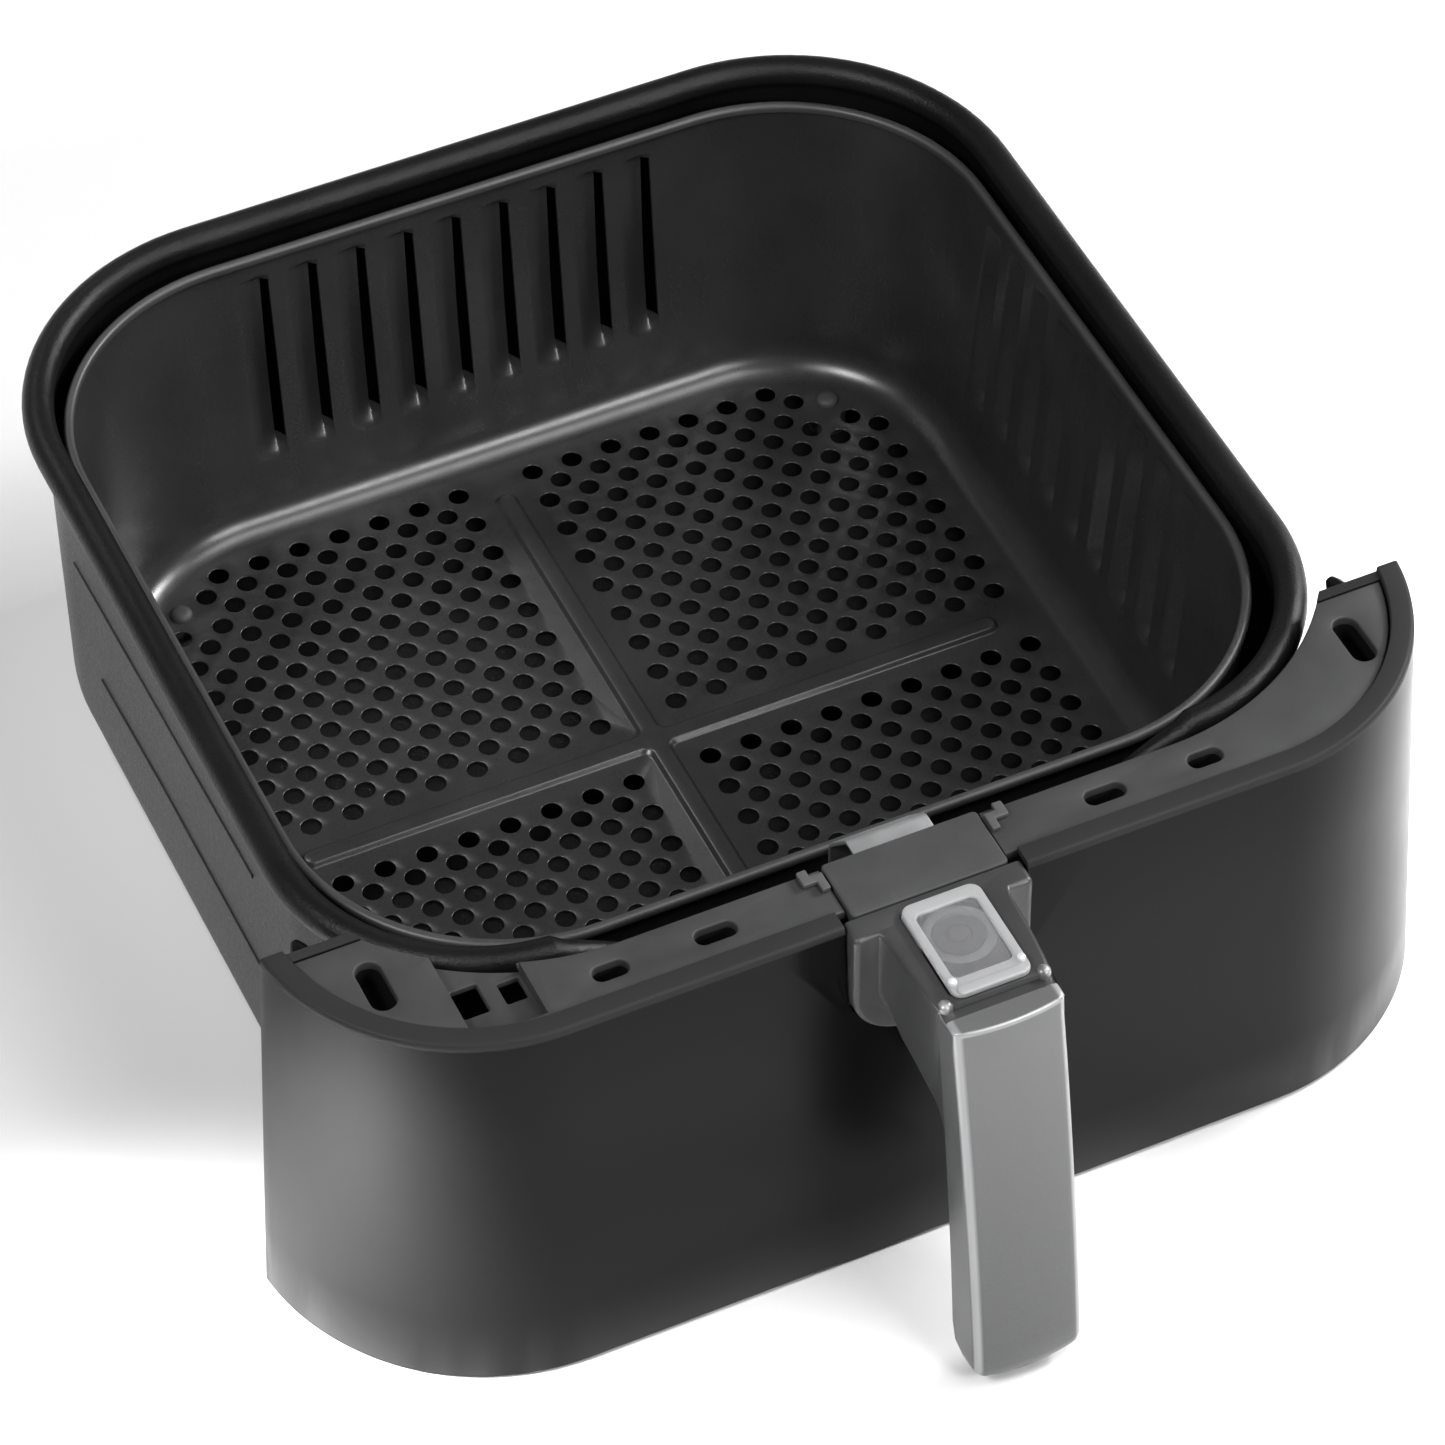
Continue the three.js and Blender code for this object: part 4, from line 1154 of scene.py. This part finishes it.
def rib_outline(half_width, reach):
    """Cross of two ribs with rounded ends and small fillets where they meet."""
    corners = []
    for quarter in range(4):
        turn = Matrix.Rotation(math.pi / 2 * quarter, 2)
        for u, v, radius in (
            (reach, -half_width, half_width * 0.9), (reach, half_width, half_width * 0.9),
            (half_width, half_width, 2.5),
        ):
            corner = turn @ Vector((u, v))
            corners.append((corner.x, corner.y, radius))
    return outline(corners, 6)


def basket_floor(surface, edge):
    """Floor inside the fillet's last ring: holes with rolled edges, and the raised ribs."""
    inner_loops = []
    for x, y in floor_holes():
        rings = []
        for grow, drop in HOLE_ROLL:
            circle = arc((x, y), HOLE_RADIUS + grow, 0, 360, HOLE_SIDES)[:-1]
            rings.append(surface.loop([(p.x, p.y, BASKET_FLOOR_Z + drop) for p in circle]))
        surface.stack(rings)
        inner_loops.append(rings[0])
    ribs = []
    for step in range(RIB_STEPS + 1):
        share = step / RIB_STEPS
        rise = RIB_HEIGHT * blend_step(share)
        shape = rib_outline(RIB_HALF_WIDTH + 0.2 - 1.4 * share, RIB_REACH - 1.4 * share)
        ribs.append(surface.loop([(p.x, p.y, BASKET_FLOOR_Z + rise) for p in shape]))
    surface.stack(ribs)
    surface.fill(ribs[-1], [], FLAT[plan])
    surface.fill(edge, [*inner_loops, ribs[0]], FLAT[plan])


def basket_shell():
    """Wall, fillet and perforated floor as one sheet, with louvres on three sides."""
    columns = columns_around(BASKET, {
        "right": louvre_stops(), "back": louvre_stops(1.0), "left": louvre_stops(),
    })
    surface = Surface()
    profile = fillet_profile(wall_offset(BASKET_FLOOR_Z + BASKET_FILLET), BASKET_FLOOR_Z,
                             BASKET_FILLET, 9)[1:]
    profile[0] = (profile[0][0], BASKET_FLOOR_Z)
    rows = [(surface.loop([c.at(offset, z) for c in columns]), z) for offset, z in profile]
    for z in WALL_ROWS:
        ring = [c.at(wall_offset(z) + c.bend * louvre_depth(z), z) for c in columns]
        rows.append((surface.loop(ring), z))
    count = len(columns)
    for (first, z), (second, next_z) in zip(rows, rows[1:]):
        open_here = z >= LOUVRE_LOW_Z and next_z <= LOUVRE_HIGH_Z
        for k, column in enumerate(columns):
            after = (k + 1) % count
            if not (column.opens and open_here):
                surface.faces.append((first[k], second[k], second[after], first[after]))
    basket_floor(surface, rows[0][0])
    shell = surface.object("basket_shell", BASKET_COATING, 40)
    sheet = shell.modifiers.new("sheet", "SOLIDIFY")
    sheet.thickness = BASKET_WALL * MM
    sheet.offset = -1
    bake(shell, 40)
    fit(shell, "basket", "basket_coating", "inner_basket")


def basket_rim():
    """Hemmed edge around the top of the wall."""
    half = RIM_HALF_THICKNESS
    top = BASKET_RIM_Z
    hem = outline([(-half, top - 2.6, 0.8), (half, top - 2.6, 0.8), (half, top, 1.1),
                   (-half, top, 1.1)], 5)
    surface = Surface()
    columns = columns_around(BASKET)
    rows = [surface.loop([c.at(offset, z) for c in columns]) for offset, z in hem]
    surface.stack(rows, ring=True)
    # The rim takes the lighter copy of the basket's coating, with painted light in its colour.
    rim = outwards(surface.object("basket_rim", LIT_RIM_COATING, 60))
    fit(rim, "basket", "basket_coating", "inner_basket")


def feet():
    """Silicone studs buttoned through the floor's corners."""
    for k in range(1, 5):
        low, high = place_of(f"basket_foot_{k}")
        centre = middle_of(f"basket_foot_{k}")
        under = BASKET_FLOOR_Z - BASKET_WALL - 0.3 - low.z
        over = BASKET_FLOOR_Z + 0.02 - low.z
        dome = high.z - low.z - over
        foot = turned(f"foot_{k}", SILICONE, [
            (0, 0), (4.3, 0), (4.8, 0.3), (5, 0.9), (5, under - 0.4), (4.7, under), (1.9, under),
            (1.9, over), (2.9, over), (2.85, over + dome * 0.3), (2.4, over + dome * 0.7),
            (1.4, over + dome * 0.94), (0, over + dome),
        ], (centre.x, centre.y, low.z))
        fit(foot, "basket", "silicone", f"basket_foot_{k}")


# ---- strap and cover ----

STRAP_LOW, STRAP_HIGH = place_of("basket_strap")
STRAP_THICKNESS = 1.0
STRAP_SHOULDER_Z = 98.5
STRAP_CREST_Y = -128.4
COVER_LOW, COVER_HIGH = place_of("bracket_cover")


def strap():
    """Bent plate from the basket over the pan's edge, wider under the cover."""
    back, front, top = STRAP_HIGH.y, STRAP_LOW.y, STRAP_HIGH.z
    narrow_path = [(back, 72), (back, STRAP_SHOULDER_Z), (STRAP_CREST_Y, top), (-134, top)]
    plate = slab("strap_plate", BARE_STEEL, bent_outline(narrow_path, STRAP_THICKNESS, 3.0),
                 -10, 10, side_view, edges=(0.35, 0.35), steps=3)
    wide_path = [(COVER_HIGH.y - 1, top), (front, top), (front, 79)]
    wide = slab("strap_front", BARE_STEEL, bent_outline(wide_path, STRAP_THICKNESS, 2.0),
                STRAP_LOW.x, STRAP_HIGH.x, side_view, edges=(0.2, 0.2), steps=2)
    combine(plate, [wide], "UNION")
    lever_slot = box("lever_slot", BARE_STEEL, -5, 5, front - 2, front + 3, 70, 101)
    combine(plate, [lever_slot])
    fit(plate, "basket", "bare_steel", "basket_strap")


def cover():
    """Flat cap over the strap."""
    shape = slot(COVER_LOW.x, COVER_HIGH.x, COVER_LOW.y, COVER_HIGH.y, 1.2)
    plate = slab("cover_plate", COVER_PLASTIC, shape, COVER_LOW.z, COVER_HIGH.z, edges=(0.1, 0.5))
    fit(plate, "basket", "handle_plastic", "bracket_cover")


# ---- handle ----

def panel_curve(share):
    """Point on the panel's face, from its top edge to its end."""
    upper = PANEL_TOP.lerp(PANEL_BEND, share)
    lower = PANEL_BEND.lerp(PANEL_END, share)
    return upper.lerp(lower, share)


def face_at(z):
    """The panel's face at a height, as (y, z)."""
    low, high = 0.0, 1.0
    for _ in range(30):
        middle = (low + high) / 2
        if panel_curve(middle).y > z:
            low = middle
        else:
            high = middle
    return panel_curve(low)


def grip_section(front, back, half_width, back_radius, front_radius=0.6):
    """Rounded section between a front point and a back point of the side view."""
    front, back = Vector(front), Vector(back)
    length = (back - front).length
    along = (back - front) / length
    shape = outline([
        (-half_width, 0, front_radius), (-half_width, length, back_radius),
        (half_width, length, back_radius), (half_width, 0, front_radius),
    ], 8)
    return [Vector((p.x, *(front + along * p.y))) for p in shape]


# the neck, from the saddle to the panel: front, front's drop from the top, back, half width and
# radius at the back
NECK = [
    (-157.5, 0, (-157.5, 78.2), 16.5, 14.5),
    (-159.4, 0, (-159.4, 79.6), 15.9, 13.5),
    (-161.4, 0, (-161.2, 81.6), 15.55, 10.5),
    (-164.5, 0, (-164, 82.6), 15.4, 7),
    (-169, 0, (-168, 82), 15.2, 5),
    (-174, 0, (-173, 80.6), 14.8, 4.5),
    (-179, 0, (-177.6, 78.4), 14.3, 4.2),
    (-183.4, 0, (-181, 75.8), 13.6, 4),
    (-183.9, 1.6, (-182.4, 74.6), 13.4, 4),
    (-186.1, 1.8, (-183.4, 73.2), 13.3, 4),
]
GRIP_BACKS = ((72, -189.1), (62, -190.0), (50, -190.9), (38, -192.2), (26, -194.1))


def grip():
    """Neck and grip, behind the panel's face."""
    sections = []
    for front, drop, back, half_width, radius in NECK:
        section = grip_section((front, HANDLE_TOP_Z - drop), back, half_width, radius, 1.2)
        sections.append(section)
    sections.append(grip_section((-186.2, 106.4), (-185.2, 71.2), 13.3, 4))
    depth = PANEL_THICKNESS + 0.3
    for z in (104, 98, 90, 82):
        drop = (104 - z) * 0.35
        back = (-186.9 - drop * 0.2, 68.6 - drop)
        sections.append(grip_section((face_at(z).x + depth, z), back, 13.3, 4))
    for z, back_y in GRIP_BACKS:
        sections.append(grip_section((face_at(z).x + depth, z), (back_y, z - 14), 13.3, 4))
    sections += [
        grip_section((face_at(17).x + depth, 17), (-196.1, 9.6), 13.2, 4),
        grip_section((face_at(11).x + depth, 10.5), (-197.2, 6.2), 12.7, 3),
        grip_section((-202.4, 7.2), (-198.6, 4.8), 11.6, 2, 0.5),
    ]
    return loft("handle_core", HANDLE_PLASTIC, sections, 40)


def handle_body():
    """Grip and saddle in one moulding, with room for the button, its spring and the latch."""
    body = grip()
    saddle = slab("saddle", HANDLE_PLASTIC, saddle_outline(0, HANDLE_TOP_Z, 1.5),
                  SADDLE_FRONT_Y, SADDLE_BACK_Y, front_view, edges=(1.3, 0.3), steps=4)
    combine(body, [saddle], "UNION")
    cutters = [
        rod("well", HANDLE_PLASTIC, 8.9, WELL_FLOOR_Z, 120, (0, BUTTON_Y, 0), edge=0.01, sides=64),
        rod("stem_hole", HANDLE_PLASTIC, 1.9, 92, WELL_FLOOR_Z + 1, (0, BUTTON_Y, 0), edge=0.01),
        box("lever_room", HANDLE_PLASTIC, -3.6, 3.6, -170, -150, 87.8, 99.2),
        box("spring_room", HANDLE_PLASTIC, 3, 7.8, SADDLE_FRONT_Y + 1.6, -150, 90.9, 99.1),
        rod("pin_bore", HANDLE_PLASTIC, 1.7, -8.3, 11.3, (0, PIVOT.y, PIVOT.z), "x", edge=0.01),
    ]
    for side in (-1, 1):
        inner, outer = sorted((side * 8.6, side * 10))
        cutters.append(box(
            f"groove_{side}", HANDLE_PLASTIC, inner, outer, -180.5, -155.7, 108.3, 120,
        ))
    combine(body, cutters, sharp=40)
    soften(body, 0.3, angle=60, sharp=40)
    fit(body, "basket", "handle_plastic", "handle_body")


PANEL_CREST_POINTS = 8  # the path's first points lie on the crest, above the face
PANEL_CORNER = 6  # rounded corners of its lower end
PANEL_EDGE = 2  # rounded long edges
PANEL_CROWN = 1.6


def panel_path():
    """Face of the front panel in side view, from its top back edge to its lower edge."""
    top = place_of("handle_front_panel")[1].z - 0.6
    path = [Vector((PANEL_BACK_Y, top)), Vector((-188.5, top))]
    path += arc((PANEL_TOP.x + 1.05, top - 1.1), 1.1, 90, 170, 5)
    path += [panel_curve(step / 22) for step in range(1, 22)]
    for back, z in ((0, 7), (0.2, 5), (0.8, 3.4), (1.9, 2.4), (3.4, 2), (4.6, 2)):
        path.append(Vector((PANEL_END.x + back, z)))
    return path


def panel_section(point, outward, gone, left_over, rim):
    """Crowned face with rounded long edges, then the two sides and the inside. gone and
    left_over are the distances along the path behind and ahead; rim is the sides' back edge."""
    half = HANDLE_HALF_WIDTH
    if left_over < PANEL_CORNER:
        half -= fall(PANEL_CORNER, PANEL_CORNER - left_over)
    face_share = 0.35 + 0.65 * blend_step(gone / 5 - 0.4)
    crown = PANEL_CROWN * blend_step(gone / 4)
    section = []
    for step in range(-12, 13):
        x = half * math.sin(step / 12 * math.pi / 2)
        drop = fall(PANEL_EDGE, max(abs(x) - (half - PANEL_EDGE), 0))
        spot = point - outward * (0.3 + drop * face_share)
        section.append(Vector((x, spot.x - crown * (1 - (x / half) ** 2), spot.y)))
    inside = point - outward * PANEL_THICKNESS
    inner = half - 0.25
    for x, spot in (
        (half, rim), (inner, rim), (inner, inside), (0, inside), (-inner, inside),
        (-inner, rim), (-half, rim),
    ):
        section.append(Vector((x, spot.x, spot.y)))
    return section


def fall(radius, reach):
    """How far a circle drops below its top, reach away from the middle."""
    return radius - math.sqrt(max(radius ** 2 - reach ** 2, 0))


def front_panel():
    """Channel with a crowned face and two sides that lie over the grip, and two knobs."""
    path = panel_path()
    lengths = [0.0]
    for before, after in zip(path, path[1:]):
        lengths.append(lengths[-1] + (after - before).length)
    sections = []
    for k, point in enumerate(path):
        along = (path[min(k + 1, len(path) - 1)] - path[max(k - 1, 0)]).normalized()
        left_over = max(lengths[-1] - lengths[k] - 1.5, 0)
        depth = 2.6 + (6.4 + (PANEL_TOP.y - point.y) * 0.03) * blend_step((left_over - 1) / 7)
        rim = Vector((point.x + depth, point.y))
        if k < PANEL_CREST_POINTS:
            rim = Vector((PANEL_BACK_Y + 4.2, point.y - 0.4 * k))
        outward = Vector((along.y, -along.x))
        sections.append(panel_section(point, outward, lengths[k], left_over, rim))
    panel = loft("front_panel", PANEL_PAINT, sections, 45)
    fit(panel, "basket", "panel_paint", "handle_front_panel")
    for name, x in (("left", -12), ("right", 11.9)):
        shoulder = turned(f"panel_shoulder_{name}", PANEL_PAINT, [
            (0, -2.4), (1.6, -2.4), (1.75, 0), (1.6, 0.7), (1.1, 1.2), (0.5, 1.45), (0, 1.5),
        ], (x, PANEL_BACK_Y + 3.6, HANDLE_TOP_Z - 0.6), sides=28)
        fit(shoulder, "basket", "panel_paint")


# ---- button, guard and latch ----

def button():
    """Round cap on a stem, with a recessed disc."""
    low, high = place_of("release_button")
    radius = (high.x - low.x) / 2
    top = high.z - low.z
    cap = turned("button_cap", BUTTON_PLASTIC, [
        (0, 0), (1.5, 0), (1.5, 10.8), (radius, 10.8), (radius, top - 1.0),
        (radius - 0.25, top - 0.35), (radius - 0.9, top), (6.6, top), (6.15, top - 0.15),
        (5.95, top - 0.6), (5.9, top - 1.1), (0, top - 1.1),
    ], (0, BUTTON_Y, low.z), sides=72)
    fit(cap, "button", "button_plastic", "release_button")
    disc_low, disc_high = place_of("button_inlay")
    height = disc_high.z - disc_low.z
    disc = turned("button_disc", INLAY_PLASTIC, [
        (0, -0.3), (5.6, -0.3), (5.7, 0.1), (5.5, height - 0.1), (5.1, height), (2.9, height),
        (2.7, height - 0.25), (2.2, height - 0.25), (2.0, height), (0, height),
    ], (0, BUTTON_Y, disc_low.z), sides=64)
    fit(disc, "button", "inlay_plastic", "button_inlay")


GUARD_LOW, GUARD_HIGH = place_of("button_guard")


def guard():
    """Clear sliding cover: a hazed frame around a window, with a lip, two runners, and studs whose
    pale colour is a painted glint.
    """
    x, front, back, top = GUARD_HIGH.x, GUARD_LOW.y, GUARD_HIGH.y, GUARD_HIGH.z
    low = HANDLE_TOP_Z + 0.3
    window_x, window_front, window_back = x - 2.3, front + 5.2, back - 3.6
    opening = slot(-window_x, window_x, window_front, window_back, 1.6)
    gap = 0.05
    pane = slot(-window_x + gap, window_x - gap, window_front + gap, window_back - gap, 1.55)
    lip = slot(-x + 1.2, x - 1.2, front, front + 2.8, 1.2)
    pieces = [
        slab("guard_frame", CLEAR_FRAME, slot(-x, x, front, back, 2.8), low, top,
             holes=[opening], edges=(0.2, 0.5)),
        slab("guard_window", CLEAR_WINDOW, pane, low, top - 0.5, edges=(0.1, 0.2), steps=2),
        slab("guard_lip", CLEAR_FRAME, lip, top - 0.4, top + 0.5, edges=(0.1, 0.6)),
    ]
    stud_profile = [(0, -0.2), (1.1, -0.2), (1.1, 0.3), (0.95, 0.7), (0.6, 0.92), (0, 1)]
    for name, side in (("left", -1), ("right", 1)):
        inner, outer = sorted((side * 8.95, side * 9.65))
        pieces.append(box(f"guard_runner_{name}", CLEAR_FRAME, inner, outer, front + 17,
                          back - 1.7, 108.6, low + 0.1, edge=0.1))
        pieces.append(turned(f"guard_stud_{name}", STUD_GLINT_PLASTIC, stud_profile,
                             (side * (x - 1.3), front + 4.2, top), sides=24))
    for piece in pieces:
        nodes = ["button_guard"] if piece.name == "guard_frame" else []
        fit(piece, "guard", "clear_plastic", *nodes)


def coil(centre, axis, radius, low, high, turns, steps=20):
    """Points of a helix about an axis, with closed end turns."""
    points = []
    count = int(turns * steps)
    turn = AXES[axis]
    for k in range(count + 1):
        share = k / count
        rise = blend_step(share) * 0.5 + share * 0.5
        angle = 2 * math.pi * turns * share
        spot = Vector((radius * math.cos(angle), radius * math.sin(angle), low + (high - low) * rise))
        points.append(turn @ spot + Vector(centre))
    return points


def springs():
    """The button's coil and the latch's coil."""
    low, high = place_of("button_spring")
    press = wire("button_coil", SPRING_STEEL,
                 coil((0, BUTTON_Y, 0), "z", 2.9, low.z + 0.35, high.z - 0.35, 5), 0.35)
    fit(press, "basket", "spring_steel", "button_spring")
    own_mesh(press)
    turns = coil(tuple(PIVOT), "x", 2.5, 4.0, 7.0, 5)
    legs = [
        Vector((4.0, PIVOT.y - 4, PIVOT.z + 2.6)), *turns,
        Vector((7.0, PIVOT.y + 2.6, PIVOT.z - 4)),
    ]
    torsion = wire("latch_coil", SPRING_STEEL, legs, 0.3)
    fit(torsion, "basket", "spring_steel", "latch_spring")


def latch():
    """Lever from under the button down to its hook, and the pin that it turns on."""
    low, high = place_of("latch_lever")
    shape = outline([
        (-168.5, 93.7, 1.0), (-147.5, 93.7, 0.8), (-147.5, 70.8, 0.5), (-150.3, 70.8, 0.3),
        (-150.3, 68, 0.8), (-144.5, 68, 1.0), (-144.5, 96.5, 2.2), (-168.5, 96.5, 1.0),
    ], 5)
    lever = slab("lever_plate", BARE_STEEL, shape, low.x, high.x, side_view, edges=(0.25, 0.25))
    boss = rod("boss", BARE_STEEL, 3.5, low.x, high.x, (0, PIVOT.y, PIVOT.z), "x", edge=0.3)
    combine(lever, [boss], "UNION")
    bore = rod("bore", BARE_STEEL, 1.75, low.x - 2, high.x + 2, (0, PIVOT.y, PIVOT.z), "x", 0.01)
    combine(lever, [bore])
    fit(lever, "latch", "bare_steel", "latch_lever")
    pin_low, pin_high = place_of("latch_pin")
    pin = rod("pivot_pin", SPRING_STEEL, (pin_high.z - pin_low.z) / 2, pin_low.x, pin_high.x,
              (0, PIVOT.y, PIVOT.z), "x", edge=0.3)
    fit(pin, "basket", "spring_steel", "latch_pin")


# ---- stage, light and camera ----

def stage_floor():
    """Plain pale floor, just under the drawer."""
    surface = Surface()
    reach = 6000
    corners = ((-reach, -reach, 0), (reach, -reach, 0), (reach, reach, 0), (-reach, reach, 0))
    surface.cap(surface.loop(corners))
    finish = Finish("stage_floor", 0.9)
    finish.colour((0.8, 0.8, 0.8, 1))
    floor = surface.object("stage_floor", finish.material)
    floor.location.z = -0.0002


def lamp(name, kind, place, target, power):
    """A lamp at a place in metres, aimed at a target."""
    light = bpy.data.lights.new(name, kind)
    light.energy = power
    made = bpy.data.objects.new(name, light)
    made.location = place
    made.rotation_mode = "QUATERNION"
    made.rotation_quaternion = (Vector(target) - Vector(place)).to_track_quat("-Z", "Y")
    bpy.context.scene.collection.objects.link(made)
    return light


def soft_box(name, place, size, power):
    """A rectangular lamp aimed at the drawer."""
    light = lamp(name, "AREA", place, (0, 0, 0.05), power)
    light.shape = "RECTANGLE"
    light.size, light.size_y = size


def spot_lamp(name, place, target, angle, power):
    """A soft-edged spot for a highlight on one part."""
    light = lamp(name, "SPOT", place, target, power)
    light.spot_size = math.radians(angle)
    light.spot_blend = 0.9
    light.shadow_soft_size = 0.06


def surroundings():
    """A white world that is brighter towards the horizon than overhead."""
    world = bpy.data.worlds.new("studio")
    world.use_nodes = True
    tree = world.node_tree
    background = tree.nodes["Background"]
    direction = tree.nodes.new("ShaderNodeTexCoord")
    height = tree.nodes.new("ShaderNodeSeparateXYZ")
    tree.links.new(direction.outputs["Generated"], height.inputs[0])
    fade = tree.nodes.new("ShaderNodeMapRange")
    for socket, value in (
        ("From Min", 0.15), ("From Max", 0.75), ("To Min", 0.32), ("To Max", 0.10),
    ):
        fade.inputs[socket].default_value = value
    tree.links.new(height.outputs["Z"], fade.inputs["Value"])
    tree.links.new(fade.outputs["Result"], background.inputs["Strength"])
    background.inputs["Color"].default_value = (1, 1, 1, 1)
    bpy.context.scene.world = world


def lighting():
    soft_box("key", (0.42, -0.5, 1.37), (0.7, 0.4), 8)
    soft_box("left", (-0.85, -0.3, 1.1), (0.4, 0.3), 12)
    soft_box("right", (1.2, 0.0, 0.8), (0.4, 0.3), 20)
    soft_box("front", (0.42, -1.05, 0.78), (0.5, 0.2), 9)
    spot_lamp("patch_left", (-0.5, -0.25, 0.6), (-0.21, -0.16, 0), 12, 290)
    spot_lamp("corner", (-0.3, 0.5, 0.9), (-0.07, 0.09, 0.1), 13, 16)
    spot_lamp("patch_right", (0.6, 0.05, 0.6), (0.22, -0.08, 0), 22, 38)
    bpy.context.scene.view_settings.view_transform = "Standard"


AZIMUTH, ELEVATION, ROLL = -24.325, 47.373, -0.766  # degrees
TARGET = Vector((17.73, -1.53, 10)) * MM
DISTANCE = 1.5214
LENS = 152.2


def camera():
    """Camera around TARGET at the viewing angles above."""
    lens = bpy.data.cameras.new("camera")
    lens.lens = LENS
    lens.sensor_width = 36
    lens.clip_start = 0.05
    lens.clip_end = 50
    made = bpy.data.objects.new("camera", lens)
    bpy.context.scene.collection.objects.link(made)
    around, above = math.radians(AZIMUTH), math.radians(ELEVATION)
    back = Vector((
        math.sin(around) * math.cos(above), -math.cos(around) * math.cos(above), math.sin(above),
    ))
    made.location = TARGET + back * DISTANCE
    made.rotation_mode = "QUATERNION"
    roll = Quaternion((0, 0, 1), math.radians(ROLL))
    made.rotation_quaternion = (-back).to_track_quat("-Z", "Y") @ roll
    bpy.context.scene.camera = made


# ---- the whole drawer, then the stage ----

pan_shell()
guide_lines()
fascia()
trim_plates()
slot_wells()
trim_pocket()
clips()
pegs()
brackets()
keeper()
fasteners()
basket_shell()
basket_rim()
feet()
strap()
cover()
handle_body()
front_panel()
button()
guard()
springs()
latch()
stage_floor()
surroundings()
lighting()
camera()
